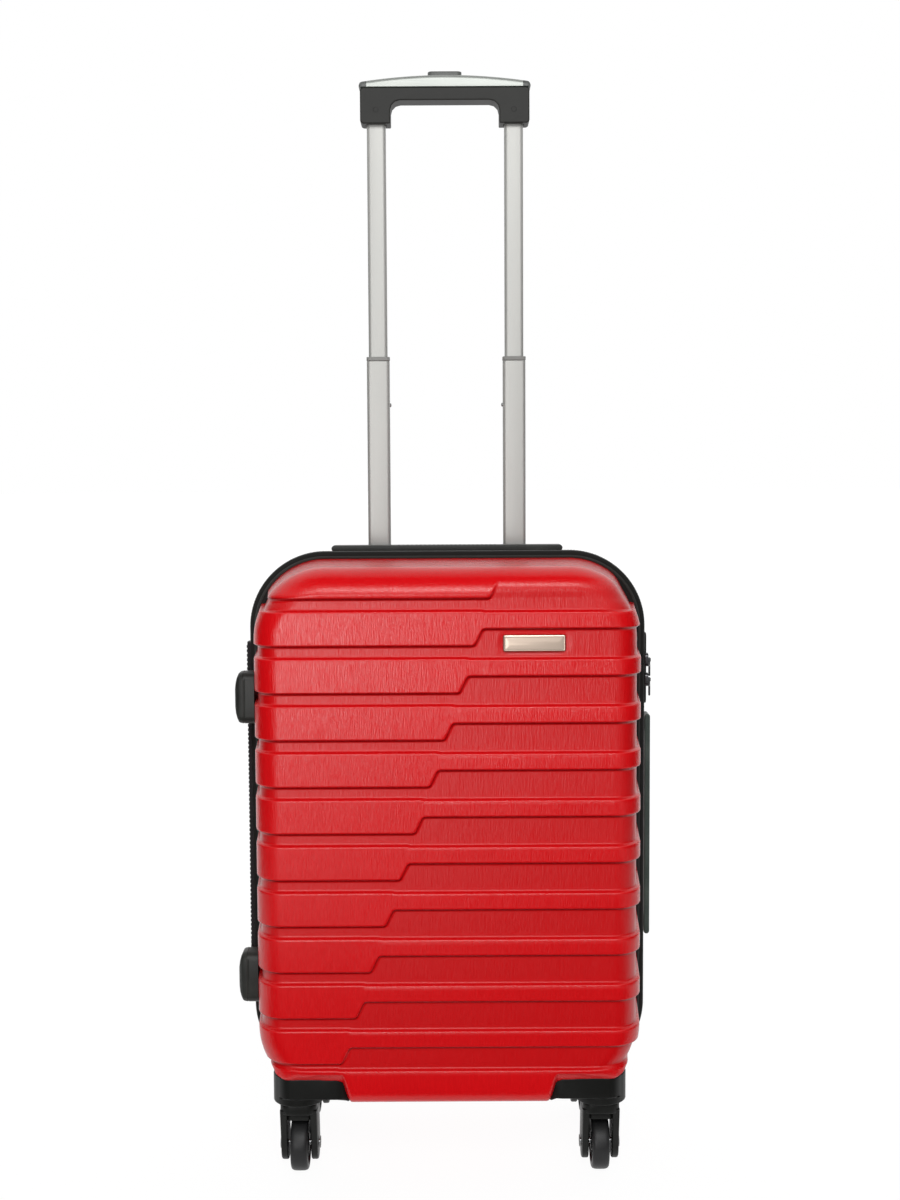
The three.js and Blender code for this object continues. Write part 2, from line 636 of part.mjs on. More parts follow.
/** The arched cover over the grip, with the slot for the button. */
function gripCover() {
  const half = GRIP_WIDTH / 2 + COVER_LIP;
  const low = COVER_BASE + GAP;
  const outline = [new THREE.Vector2(-half, low), new THREE.Vector2(half, low)];
  const arcSteps = 10;
  for (let i = 0; i <= arcSteps; i++) {
    const x = half * (1 - (2 * i) / arcSteps);
    const rise = (COVER_HEIGHT - COVER_END_HEIGHT) * (1 - (x / half) ** 2);
    outline.push(new THREE.Vector2(x, COVER_BASE + COVER_END_HEIGHT + rise));
  }
  const y = GRIP_DEPTH / 2 + COVER_LIP;
  const slot = block(
    [-BUTTON.width / 2 - RUN_GAP, POLE_Y - BUTTON.depth / 2 - RUN_GAP, low - OVERCUT],
    [BUTTON.width / 2 + RUN_GAP, POLE_Y + BUTTON.depth / 2 + RUN_GAP, COVER_BASE + 2 * COVER_HEIGHT],
    "z",
    BUTTON.corner + RUN_GAP
  );
  return prism(outline, "y", POLE_Y - y, POLE_Y + y).subtract(slot);
}

const BAR_TOP = COVER_BASE - GAP;

/** The bar in the grip with the two rods that reach down to the lock clips. */
function pushRodFrame() {
  const half = POLE_X + ROD_RADIUS + 1;
  const rodLow = COLLAR_TOP - INNER_OVERLAP + CLIP_RISE + ROD_CLEAR;
  const [y0, y1] = [POLE_Y - RELEASE_BAR.depth / 2, POLE_Y + RELEASE_BAR.depth / 2];
  let body = block([-half, y0, BAR_TOP - RELEASE_BAR.height], [half, y1, BAR_TOP]);
  for (const x of [-POLE_X, POLE_X]) {
    body = body.add(rod("z", [x, POLE_Y], ROD_RADIUS, rodLow, BAR_TOP - 1, 10));
  }
  return body;
}

/** The release button, standing on the bar. */
function releaseButton() {
  return block(
    [-BUTTON.width / 2, POLE_Y - BUTTON.depth / 2, BAR_TOP + GAP],
    [BUTTON.width / 2, POLE_Y + BUTTON.depth / 2, COVER_BASE + COVER_HEIGHT + BUTTON.stand],
    "z",
    BUTTON.corner
  );
}

// ---------------------------------------------------------------- carry handles

/**
 * A carry handle laid along X with up as +Z, over a flat at level 0: its base and its grip.
 * The base has a plate with a finger window and two sockets; the grip has a leg in each.
 */
function carryHandle(length, stand) {
  const half = length / 2;
  const legX = half - CARRY.leg;
  const legHalf = CARRY.leg / 2;
  const wide = CARRY.width / 2;
  const windowX = half - CARRY_WINDOW_MARGIN;
  let base = block([-half, -wide - 2, -CARRY.plate * 2], [half, wide + 2, CARRY.plate], "z", 6);
  base = base.subtract(
    block([-windowX, -wide + 1, -CARRY.plate * 3], [windowX, wide - 1, CARRY.plate * 2], "z", 4)
  );
  const under = stand - CARRY.thick;
  let grip = block([-half, -wide, under], [half, wide, stand], "y", CARRY.thick / 2 - 0.1);
  let sockets = null;
  for (const x of [-legX, legX]) {
    const box = (grow, low, high) =>
      block([x - legHalf - grow, -legHalf - grow, low], [x + legHalf + grow, legHalf + grow, high]);
    const socket = box(2.5, -CARRY.socketDepth, CARRY.plate);
    sockets = sockets ? sockets.add(socket) : socket;
    base = base.add(socket).subtract(box(RUN_GAP, 2 - CARRY.socketDepth, stand));
    grip = grip.add(box(0, 3.5 - CARRY.socketDepth, under + 1));
  }
  return { base, grip, sockets };
}

/** The holes in a shell for a carry handle's sockets, in the handle's own place. */
function carrySocketCutter(length) {
  const legX = length / 2 - CARRY.leg;
  const reach = CARRY.leg / 2 + 2.5 + GAP;
  return [-legX, legX]
    .map((x) => block([x - reach, -reach, -CARRY.socketDepth - 10], [x + reach, reach, 10]))
    .reduce((all, one) => all.add(one));
}

const moveTo = (x, y, z) => [1, 0, 0, 0, 0, 1, 0, 0, 0, 0, 1, 0, x, y, z, 1];
/** Turns a handle so that its length runs along Z and its top faces +X, then moves it. */
const turnTo = (x, y, z) => [0, 0, 1, 0, 0, -1, 0, 0, 1, 0, 0, 0, x, y, z, 1];

const LOCK_Z = SHELL_TOP - LOCK.drop;
const SIDE_CARRY_Z = LOCK_Z - LOCK.height / 2 - SIDE_CARRY.lockGap - SIDE_CARRY.length / 2;

const topPlace = moveTo(0, TOP_CARRY.y, topZ(TOP_CARRY.y));
const sidePlace = turnTo(sideX(SIDE_CARRY.y), SIDE_CARRY.y, SIDE_CARRY_Z);

// ---------------------------------------------------------------- lock and zip

const LOCK_FACE = RIM_X + LOCK.stand;

/** Middle level of one of the lock's dials. */
function dialZ(i) {
  return LOCK_Z - DIAL.drop + (i - (DIAL.count - 1) / 2) * (DIAL.width + DIAL.gap);
}

const DIAL_X = LOCK_FACE - DIAL.radius + DIAL.stand;

/** The lock's case on the side of the back shell, with windows for dials and slide. */
function lockBody() {
  const [y0, y1] = [LOCK.y - LOCK.depth / 2, LOCK.y + LOCK.depth / 2];
  const low = [sideX(y1) - RIB_RELIEF, y0, LOCK_Z - LOCK.height / 2];
  const high = [LOCK_FACE, y1, LOCK_Z + LOCK.height / 2];
  const pocket = block(
    [DIAL_X - DIAL.radius - GAP, LOCK.y - DIAL.radius - GAP, dialZ(0) - DIAL.width / 2 - DIAL.gap],
    [
      LOCK_FACE + OVERCUT,
      LOCK.y + DIAL.radius + GAP,
      dialZ(DIAL.count - 1) + DIAL.width / 2 + DIAL.gap,
    ]
  );
  const slideZ = LOCK_Z + LOCK_SLIDE.rise;
  const track = block(
    [LOCK_FACE - 1.6 - GAP, LOCK.y - LOCK_SLIDE.width / 2 - GAP, slideZ - LOCK_SLIDE.height / 2 - GAP],
    [
      LOCK_FACE + OVERCUT,
      LOCK.y + LOCK_SLIDE.width / 2 + GAP,
      slideZ + LOCK_SLIDE.height / 2 + LOCK_SLIDE.travel + GAP,
    ]
  );
  return block(low, high, "x", LOCK.corner)
    .subtract(halfForm(1, GAP, -OVERCUT))
    .subtract(pocket)
    .subtract(track);
}

/** The small catch that slides in the lock's track. */
function lockSlide() {
  const z = LOCK_Z + LOCK_SLIDE.rise;
  return block(
    [LOCK_FACE - 1.6, LOCK.y - LOCK_SLIDE.width / 2, z - LOCK_SLIDE.height / 2],
    [LOCK_FACE - 1.6 + LOCK_SLIDE.thick, LOCK.y + LOCK_SLIDE.width / 2, z + LOCK_SLIDE.height / 2]
  );
}

/** A zip slider on the tape, about its own middle, with the two lugs that hold its pull. */
function zipSlider() {
  const low = TAPE_FACE_X + GAP;
  const face = low + SLIDER.thick;
  let body = block(
    [low, -SLIDER.width / 2, -SLIDER.length / 2], [face, SLIDER.width / 2, SLIDER.length / 2], "x", 3
  );
  for (const y of [-1, 1]) {
    const near = y * (PULL.lug + GAP);
    const far = near + y * 1.3;
    body = body.add(
      block([face - 0.5, Math.min(near, far), -1.6], [face + 2.4, Math.max(near, far), 1.6])
    );
  }
  return body;
}

/** A zip pull that hangs from between the lugs. */
function zipPull() {
  const x = TAPE_FACE_X + GAP + SLIDER.thick + 1.4;
  const eye = rod("y", [x, 0], PULL.eye, -PULL.lug, PULL.lug, 12);
  const neck = block([x - PULL.thick / 2, -PULL.lug, -5], [x + PULL.thick / 2, PULL.lug, 0]);
  const tab = block(
    [x - PULL.thick / 2, -PULL.width / 2, -PULL.length],
    [x + PULL.thick / 2, PULL.width / 2, -4],
    "x",
    2
  );
  return eye.add(neck).add(tab);
}

/** A slider and its pull in a group at their level. */
function zipPair(name, z) {
  const group = new THREE.Group();
  group.position.set(0, 0, z);
  group.add(piece(`${name}_zip_slider`, zipSlider(), SPRING_STEEL));
  group.add(piece(`${name}_zip_pull`, zipPull(), SPRING_STEEL));
  return group;
}

// ---------------------------------------------------------------- linings, badge, hinge

/** The pressed cloth that lines the front shell. */
function frontLining() {
  const skin = -RIB_RELIEF - SHELL_WALL - LINING_GAP;
  const outer = halfForm(-1, skin, 2);
  return outer.subtract(halfForm(-1, skin - LINING_WALL, -OVERCUT));
}

/** The flat lined panel in front of the handle's tubes. */
function rearLining() {
  const back = POLE_Y - BEZEL.depth / 2 - LINING_GAP;
  const reach = CASE_WIDTH;
  const slab = block([-reach, back - LINING_WALL, 0], [reach, back, SHELL_TOP]);
  return slab.intersect(halfForm(1, -RIB_RELIEF - SHELL_WALL - LINING_GAP));
}

/** The badge, in the middle of the groove below the second rib's high part. */
function badge() {
  const [ceiling, floor] = ribTops();
  const z = (ceiling - RIB_RIGHT_HEIGHT + floor) / 2;
  const back = -(FACE_Y - RIB_RELIEF) - GAP;
  return block(
    [BADGE.x - BADGE.width / 2, back - BADGE.thick, z - BADGE.height / 2],
    [BADGE.x + BADGE.width / 2, back, z + BADGE.height / 2],
    "y",
    1.5
  );
}

/** The cloth strip that joins the two tapes on the left and lets the case open. */
function hingeStrip() {
  const x = -TAPE_FACE_X - GAP;
  return block(
    [x - HINGE_STRIP.thick, -HINGE_STRIP.width / 2, SHELL_FLOOR + HINGE_STRIP.margin],
    [x, HINGE_STRIP.width / 2, SHELL_TOP - HINGE_STRIP.margin],
    "z",
    1
  );
}

// ---------------------------------------------------------------- assembly

const suitcase = new THREE.Group();
const topCarry = carryHandle(TOP_CARRY.length, TOP_CARRY.stand);
const sideCarry = carryHandle(SIDE_CARRY.length, SIDE_CARRY.stand);

const rearCase = new THREE.Group();
const rearShell = shell(1)
  .subtract(bezelCutter())
  .subtract(carrySocketCutter(TOP_CARRY.length).transform(topPlace))
  .subtract(carrySocketCutter(SIDE_CARRY.length).transform(sidePlace));
rearCase.add(piece("rear_shell", rearShell, RED_SHELL));
rearCase.add(piece("rear_zip_tape", zipTape(1), BLACK_TAPE));
rearCase.add(piece("hinge_strip", hingeStrip(), BLACK_TAPE));
rearCase.add(piece("rear_lining", rearLining(), GREY_LINING));
rearCase.add(piece("trolley_bezel", trolleyBezel(), BLACK_PLASTIC));
rearCase.add(piece("tube_foot_bracket", tubeFootBracket(), BLACK_PLASTIC));
rearCase.add(piece("lock_body", lockBody(), BLACK_PLASTIC));
rearCase.add(piece("lock_slide", lockSlide(), SPRING_STEEL));

/** A carry handle's base without what would lie inside the shell, sockets kept. */
function seatedBase(handle, place) {
  const sockets = handle.sockets.transform(place);
  const base = handle.base.transform(place);
  return base.subtract(halfForm(1, GAP, -OVERCUT).subtract(sockets));
}

rearCase.add(piece("top_handle_base", seatedBase(topCarry, topPlace), BLACK_PLASTIC));
rearCase.add(piece("top_handle_grip", topCarry.grip.transform(topPlace), BLACK_RUBBER));
rearCase.add(piece("side_handle_base", seatedBase(sideCarry, sidePlace), BLACK_PLASTIC));
rearCase.add(piece("side_handle_grip", sideCarry.grip.transform(sidePlace), GREY_PLASTIC));
for (let i = 0; i < DIAL.count; i++) {
  const z = dialZ(i);
  const dial = rod("z", [DIAL_X, LOCK.y], DIAL.radius, z - DIAL.width / 2, z + DIAL.width / 2, 20);
  rearCase.add(piece(`lock_dial_${i + 1}`, dial, GREY_PLASTIC));
}
const halfPair = (SLIDER.length + SLIDER.gap) / 2;
rearCase.add(zipPair("upper", LOCK_Z + halfPair));
rearCase.add(zipPair("lower", LOCK_Z - halfPair));
suitcase.add(rearCase);

const frontCase = new THREE.Group();
frontCase.add(piece("front_shell", shell(-1), RED_SHELL));
frontCase.add(piece("front_zip_tape", zipTape(-1), BLACK_TAPE));
frontCase.add(piece("front_lining", frontLining(), GREY_LINING));
frontCase.add(piece("badge_plate", badge(), CHAMPAGNE));
suitcase.add(frontCase);

for (const [half, side, group] of [["rear", 1, rearCase], ["front", -1, frontCase]]) {
  group.add(piece(`${half}_upper_foot`, sideFoot(side, SHELL_TOP - FOOT.drop), BLACK_RUBBER));
  group.add(piece(`${half}_lower_foot`, sideFoot(side, SHELL_FLOOR + FOOT.rise), BLACK_RUBBER));
  for (const [hand, xSide] of [["left", -1], ["right", 1]]) {
    const corner = `${half}_${hand}`;
    group.add(piece(`${corner}_housing`, casterHousing(xSide, side), BLACK_PLASTIC));
    group.add(caster(corner, xSide, side));
  }
}

suitcase.add(pole("left", 1));
suitcase.add(pole("right", -1));

const handle = new THREE.Group();
handle.add(piece("grip_base", gripBase(), BLACK_PLASTIC));
handle.add(piece("grip_cover", gripCover(), SILVER_COVER));
handle.add(piece("push_rod_frame", pushRodFrame(), SPRING_STEEL));
handle.add(piece("release_button", releaseButton(), BLACK_PLASTIC));
suitcase.add(handle);

export default suitcase;
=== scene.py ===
"""Looks of a hard shell suitcase on wheels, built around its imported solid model.

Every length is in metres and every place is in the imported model's own frame:
X to the right, Y to the back and Z up, with the origin on the floor.
"""

import logging
import math
from dataclasses import dataclass
from enum import Enum
from typing import Callable, Iterable, Optional, Sequence, Union

import bmesh
import bpy
import numpy as np
from mathutils import Matrix, Vector


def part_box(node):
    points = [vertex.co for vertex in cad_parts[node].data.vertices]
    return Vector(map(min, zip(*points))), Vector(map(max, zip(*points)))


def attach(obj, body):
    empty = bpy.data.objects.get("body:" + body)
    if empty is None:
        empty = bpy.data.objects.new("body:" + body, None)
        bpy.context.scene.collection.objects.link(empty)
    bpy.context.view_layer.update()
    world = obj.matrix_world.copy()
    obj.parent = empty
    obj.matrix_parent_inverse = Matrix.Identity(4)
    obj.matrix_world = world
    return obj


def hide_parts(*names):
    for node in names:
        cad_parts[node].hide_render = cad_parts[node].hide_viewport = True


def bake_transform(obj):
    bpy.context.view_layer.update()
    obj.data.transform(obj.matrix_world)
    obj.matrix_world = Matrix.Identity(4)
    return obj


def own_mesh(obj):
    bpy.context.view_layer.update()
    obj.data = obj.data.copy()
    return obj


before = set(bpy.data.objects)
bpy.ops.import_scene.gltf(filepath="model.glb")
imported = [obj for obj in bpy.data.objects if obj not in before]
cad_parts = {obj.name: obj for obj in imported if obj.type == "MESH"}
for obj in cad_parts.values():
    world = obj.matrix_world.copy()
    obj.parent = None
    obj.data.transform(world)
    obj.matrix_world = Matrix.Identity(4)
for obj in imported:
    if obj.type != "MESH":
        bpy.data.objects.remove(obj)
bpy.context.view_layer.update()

logging.basicConfig(level=logging.INFO, format="%(message)s")
log = logging.getLogger("suitcase")

MM = 0.001
Point = Sequence[float]
Piece = bpy.types.Object


class Slot(Enum):
    """The record's material slots."""

    RED_SHELL = "red_shell"
    ZIP_TAPE = "zip_tape"
    LINING = "lining"
    BLACK_PLASTIC = "black_plastic"
    BLACK_RUBBER = "black_rubber"
    GREY_PLASTIC = "grey_plastic"
    ALUMINIUM = "satin_aluminium"
    SILVER_COVER = "silver_cover"
    BADGE_METAL = "badge_metal"
    STEEL = "steel"
    WHEEL_RUBBER = "wheel_rubber"


class Axis(Enum):
    """The axis that a form is made along."""

    X = 0
    Y = 1
    Z = 2


# ------------------------------------------------------------------ shader toolkit


class Value:
    """A node's output socket that takes part in Python expressions."""

    def __init__(self, graph: "Graph", socket: bpy.types.NodeSocket) -> None:
        """Keeps the socket and the graph that its maths nodes are added to."""
        self.graph = graph
        self.socket = socket

    def _math(self, operation: str, first: "Input", second: "Input") -> "Value":
        """Adds one Math node."""
        return self.graph.node("ShaderNodeMath", {"operation": operation}, {0: first, 1: second})

    def __add__(self, other: "Input") -> "Value":
        """Adds."""
        return self._math("ADD", self, other)

    __radd__ = __add__

    def __sub__(self, other: "Input") -> "Value":
        """Takes other away."""
        return self._math("SUBTRACT", self, other)

    def __rsub__(self, other: "Input") -> "Value":
        """Takes this away from other."""
        return self._math("SUBTRACT", other, self)

    def __mul__(self, other: "Input") -> "Value":
        """Multiplies."""
        return self._math("MULTIPLY", self, other)

    __rmul__ = __mul__

    def between(self, low: float, high: float) -> "Value":
        """A smooth rise from 0 at low to 1 at high."""
        settings = {"interpolation_type": "SMOOTHSTEP"}
        return self.graph.node(
            "ShaderNodeMapRange", settings, {"Value": self, "From Min": low, "From Max": high}
        )


Input = Union[Value, float, int, Sequence[float]]


class Graph:
    """A material's nodes, with one shader at the end."""

    def __init__(self, name: str) -> None:
        """Starts an empty material of that name.

        Args:
            name: the material's name.
        """
        self.material = bpy.data.materials.new(name)
        self.material.use_nodes = True
        self.tree = self.material.node_tree
        self.tree.nodes.clear()

    def node(self, kind: str, settings: dict, inputs: dict, output: Union[int, str] = 0) -> Value:
        """Adds a node.

        Args:
            kind: the node's type.
            settings: its properties, set before its sockets.
            inputs: values or links, by socket name or number.
            output: the output that is returned.

        Returns:
            The node's output.
        """
        made = self.tree.nodes.new(kind)
        for name, value in settings.items():
            setattr(made, name, value)
        for key, value in inputs.items():
            if isinstance(value, Value):
                self.tree.links.new(value.socket, made.inputs[key])
            else:
                made.inputs[key].default_value = value
        return Value(self, made.outputs[output])

    def place(self, scale: Point = (1, 1, 1), turn: Point = (0, 0, 0)) -> Value:
        """A point on the piece in metres, scaled and turned."""
        here = self.node("ShaderNodeTexCoord", {}, {}, "Object")
        return self.node("ShaderNodeMapping", {}, {"Vector": here, "Scale": scale, "Rotation": turn})

    def noise(self, size: Point, detail: float = 2.0, rough: float = 0.5, swirl: float = 0.0) -> Value:
        """Noise whose grains have about that size along X, Y and Z.

        Args:
            size: the grain, along X, Y and Z.
            detail: how many finer layers it has.
            rough: how strong the finer layers are.
            swirl: how far the pattern is twisted.

        Returns:
            The noise's value.
        """
        where = self.place([1 / s for s in size])
        inputs = {"Vector": where, "Scale": 1.0, "Detail": detail, "Roughness": rough}
        return self.node("ShaderNodeTexNoise", {}, {**inputs, "Distortion": swirl})

    def blend(self, share: Value, first: Input, second: Input) -> Value:
        """Mixes two colours by share."""
        return self.node("ShaderNodeMix", {"data_type": "RGBA"}, {0: share, 6: first, 7: second}, 2)

    def bump(self, height: Value, depth: float) -> Value:
        """A normal from a height of 0 to 1 that stands for depth."""
        return self.node("ShaderNodeBump", {}, {"Strength": 1.0, "Distance": depth, "Height": height})

    def finish(self, inputs: dict) -> bpy.types.Material:
        """Ends the material in a Principled shader with those inputs.

        Args:
            inputs: values or links of its sockets, by name.

        Returns:
            The material.
        """
        shader = self.node("ShaderNodeBsdfPrincipled", {}, inputs)
        output = self.tree.nodes.new("ShaderNodeOutputMaterial")
        self.tree.links.new(shader.socket, output.inputs["Surface"])
        return self.material


def rgb(red: float, green: float, blue: float) -> tuple[float, float, float, float]:
    """A linear colour with full alpha."""
    return (red, green, blue, 1.0)


# ------------------------------------------------------------------ finishes


@dataclass(frozen=True)
class ShellFinish:
    """Glossy coloured sheet with fine upright wavy grain, rougher where it is pressed in; its colour holds
    painted shade: a darker red in the pressed-in grooves and near black under the raised ribs' lower edges.
    """

    name: str = "glossy_red_shell"
    light: tuple = rgb(0.67, 0.004, 0.007)
    dark: tuple = rgb(0.58, 0.003, 0.005)
    # painted shade: the darker red that the pressed-in grooves are given
    pressed: tuple = rgb(0.56, 0.002, 0.004)
    # painted shade: near black along the undersides of the raised ribs
    underside_shade: tuple = rgb(0.16, 0.001, 0.002)
    grain: float = 1.0 * MM
    length: float = 11 * MM
    depth: float = 0.11 * MM

    def make(self) -> bpy.types.Material:
        """Makes the material.

        Returns:
            The material.
        """
        graph = Graph(self.name)
        streaks = graph.noise((self.grain, self.grain, self.length), 2.5, 0.55, 0.5)
        fine = graph.noise((self.grain / 2, self.grain / 2, self.length / 4), 1.0)
        cloud = graph.noise((0.09, 0.09, 0.12), 1.0)
        press = graph.node("ShaderNodeAttribute", {"attribute_name": "press_depth"}, {}, "Fac")
        under = graph.node("ShaderNodeAttribute", {"attribute_name": "underside"}, {}, "Fac")
        height = streaks.between(0.3, 0.7) * 0.75 + fine * 0.25
        color = graph.blend(streaks.between(0.3, 0.7) * 0.5 + cloud * 0.5, self.dark, self.light)
        return graph.finish(
            {
                # Base Color paints shade: darker red in the grooves and near black under the raised ribs'
                # lower edges
                "Base Color": graph.blend(
                    under.between(0.1, 0.7) * 0.6, graph.blend(press, color, self.pressed), self.underside_shade
                ),
                "Roughness": 0.19 + streaks * 0.10 + press * 0.06,
                "Specular IOR Level": 0.36,
                "Normal": graph.bump(height, self.depth),
            }
        )


@dataclass(frozen=True)
class MouldedFinish:
    """Moulded plastic or rubber with a fine spark-eroded grain and worn, paler patches."""

    name: str
    color: tuple
    worn: tuple
    roughness: float = 0.5
    grain: float = 0.5 * MM
    depth: float = 0.03 * MM
    specular: float = 0.2

    def make(self) -> bpy.types.Material:
        """Makes the material.

        Returns:
            The material.
        """
        graph = Graph(self.name)
        grain = graph.noise((self.grain,) * 3, 2.0, 0.6)
        cloud = graph.noise((0.03, 0.03, 0.03), 2.0)
        share = cloud.between(0.4, 0.75) * 0.7 + grain.between(0.55, 0.8) * 0.3
        return graph.finish(
            {
                "Base Color": graph.blend(share, self.color, self.worn),
                "Roughness": self.roughness - 0.06 + cloud * 0.12,
                "Specular IOR Level": self.specular,
                "Normal": graph.bump(grain, self.depth),
            }
        )


@dataclass(frozen=True)
class MetalFinish:
    """Drawn or satin metal with fine lines along one axis."""

    name: str
    color: tuple
    roughness: float = 0.3
    along: Axis = Axis.Z
    lines: float = 0.25 * MM
    metallic: float = 1.0

    def make(self) -> bpy.types.Material:
        """Makes the material.

        Returns:
            The material.
        """
        graph = Graph(self.name)
        size = [self.lines] * 3
        size[self.along.value] = self.lines * 120
        brushed = graph.noise(size, 2.0, 0.6)
        cloud = graph.noise((0.02, 0.02, 0.08), 2.0)
        darker = rgb(*(c * 0.82 for c in self.color[:3]))
        return graph.finish(
            {
                "Base Color": graph.blend(brushed * 0.6 + cloud * 0.4, darker, self.color),
                "Metallic": self.metallic,
                "Roughness": self.roughness - 0.05 + brushed * 0.14,
                "Normal": graph.bump(brushed, 0.012 * MM),
            }
        )


@dataclass(frozen=True)
class WovenFinish:
    """Woven tape or lining cloth, with its threads as fine crossed ribs."""

    name: str
    color: tuple
    thread: float = 0.9 * MM
    depth: float = 0.12 * MM
    slant: float = 45.0

    def make(self) -> bpy.types.Material:
        """Makes the material.

        Returns:
            The material.
        """
        graph = Graph(self.name)
        turn = (0.0, math.radians(self.slant), 0.0)
        where = graph.place((1 / self.thread / 6.283,) * 3, turn)
        ribs = []
        for direction in ("X", "Z"):
            settings = {"wave_type": "BANDS", "bands_direction": direction}
            inputs = {"Vector": where, "Scale": 6.283 / 3.1416, "Distortion": 0.6}
            ribs.append(graph.node("ShaderNodeTexWave", settings, inputs, 1))
        fuzz = graph.noise((0.4 * MM,) * 3, 2.0, 0.7)
        height = ribs[0] * 0.4 + ribs[1] * 0.4 + fuzz * 0.2
        darker = rgb(*(c * 0.55 for c in self.color[:3]))
        return graph.finish(
            {
                "Base Color": graph.blend(height.between(0.25, 0.75), darker, self.color),
                "Roughness": 0.78 + fuzz * 0.15,
                "Specular IOR Level": 0.2,
                "Sheen Weight": 0.25,
                "Normal": graph.bump(height, self.depth),
            }
        )


@dataclass(frozen=True)
class PaperFinish:
    """The pale matt sweep under the suitcase."""

    name: str = "pale_sweep"

    def make(self) -> bpy.types.Material:
        """Makes the material.

        Returns:
            The material.
        """
        graph = Graph(self.name)
        tooth = graph.noise((0.004, 0.004, 0.004), 3.0, 0.6)
        return graph.finish(
            {
                "Base Color": graph.blend(tooth, rgb(0.055, 0.055, 0.056), rgb(0.065, 0.065, 0.065)),
                "Emission Color": rgb(1.0, 1.0, 1.0),
                "Emission Strength": 0.95,
                "Roughness": 0.9,
                "Specular IOR Level": 0.1,
                "Normal": graph.bump(tooth, 0.05 * MM),
            }
        )


class Finishes:
    """Every finish of the suitcase, each made once."""

    def __init__(self) -> None:
        """Makes the materials."""
        self.red = ShellFinish().make()
        self.black = MouldedFinish(
            "black_moulding", rgb(0.0065, 0.0067, 0.006), rgb(0.012, 0.0125, 0.0115), 0.42
        ).make()
        self.grip = MouldedFinish(
            "soft_black_grip", rgb(0.017, 0.0172, 0.0155), rgb(0.027, 0.0275, 0.025), 0.5,
            0.6 * MM, 0.05 * MM, 0.24,
        ).make()
        self.rubber = MouldedFinish(
            "black_foot_rubber", rgb(0.016, 0.017, 0.015), rgb(0.034, 0.037, 0.033), 0.45,
            0.8 * MM, 0.05 * MM, 0.3,
        ).make()
        self.tread = MouldedFinish(
            "wheel_tread", rgb(0.008, 0.008, 0.0085), rgb(0.017, 0.017, 0.018), 0.45,
            0.5 * MM, 0.04 * MM, 0.3,
        ).make()
        self.grey = MouldedFinish(
            "grey_green_moulding", rgb(0.065, 0.085, 0.075), rgb(0.10, 0.125, 0.11), 0.4
        ).make()
        self.cap = MouldedFinish(
            "dark_grey_cap", rgb(0.10, 0.105, 0.10), rgb(0.15, 0.155, 0.15), 0.35
        ).make()
        self.collar = MouldedFinish(
            "pale_grey_collar", rgb(0.22, 0.22, 0.21), rgb(0.27, 0.27, 0.26), 0.4
        ).make()
        self.tape = WovenFinish("black_zip_tape", rgb(0.010, 0.0112, 0.010)).make()
        self.piping = WovenFinish("dark_piping", rgb(0.035, 0.038, 0.035), 0.6 * MM).make()
        self.lining = WovenFinish("grey_lining", rgb(0.075, 0.08, 0.09), 0.7 * MM).make()
        self.strap = WovenFinish("black_strap", rgb(0.02, 0.02, 0.022), 1.1 * MM, 0.2 * MM, 0).make()
        self.pole = MetalFinish("satin_aluminium", rgb(0.45, 0.45, 0.43), 0.46, metallic=0.5).make()
        self.cover = MetalFinish(
            "silver_cover", rgb(0.40, 0.42, 0.395), 0.4, Axis.X, 0.3 * MM, 0.4
        ).make()
        self.badge = MetalFinish("champagne_badge", rgb(0.62, 0.50, 0.41), 0.32, Axis.X).make()
        self.steel = MetalFinish("zinc_steel", rgb(0.38, 0.385, 0.39), 0.3).make()
        self.dark_metal = MetalFinish("gunmetal", rgb(0.10, 0.10, 0.105), 0.32).make()


# ------------------------------------------------------------------ form toolkit


def rounded_rectangle(width: float, height: float, radius: float, steps: int = 6) -> np.ndarray:
    """The outline of a rounded rectangle about the origin, counter-clockwise.

    Args:
        width: size along the first axis.
        height: size along the second axis.
        radius: corner radius.
        steps: segments per corner.

    Returns:
        An array of 2-D points.
    """
    radius = min(radius, width / 2 - 1e-6, height / 2 - 1e-6)
    points = []
    for index, (sx, sy) in enumerate(((1, 1), (-1, 1), (-1, -1), (1, -1))):
        for step in range(steps + 1):
            angle = math.pi / 2 * (index + step / steps)
            points.append(
                (
                    sx * (width / 2 - radius) + radius * math.cos(angle),
                    sy * (height / 2 - radius) + radius * math.sin(angle),
                )
            )
    return np.array(points)


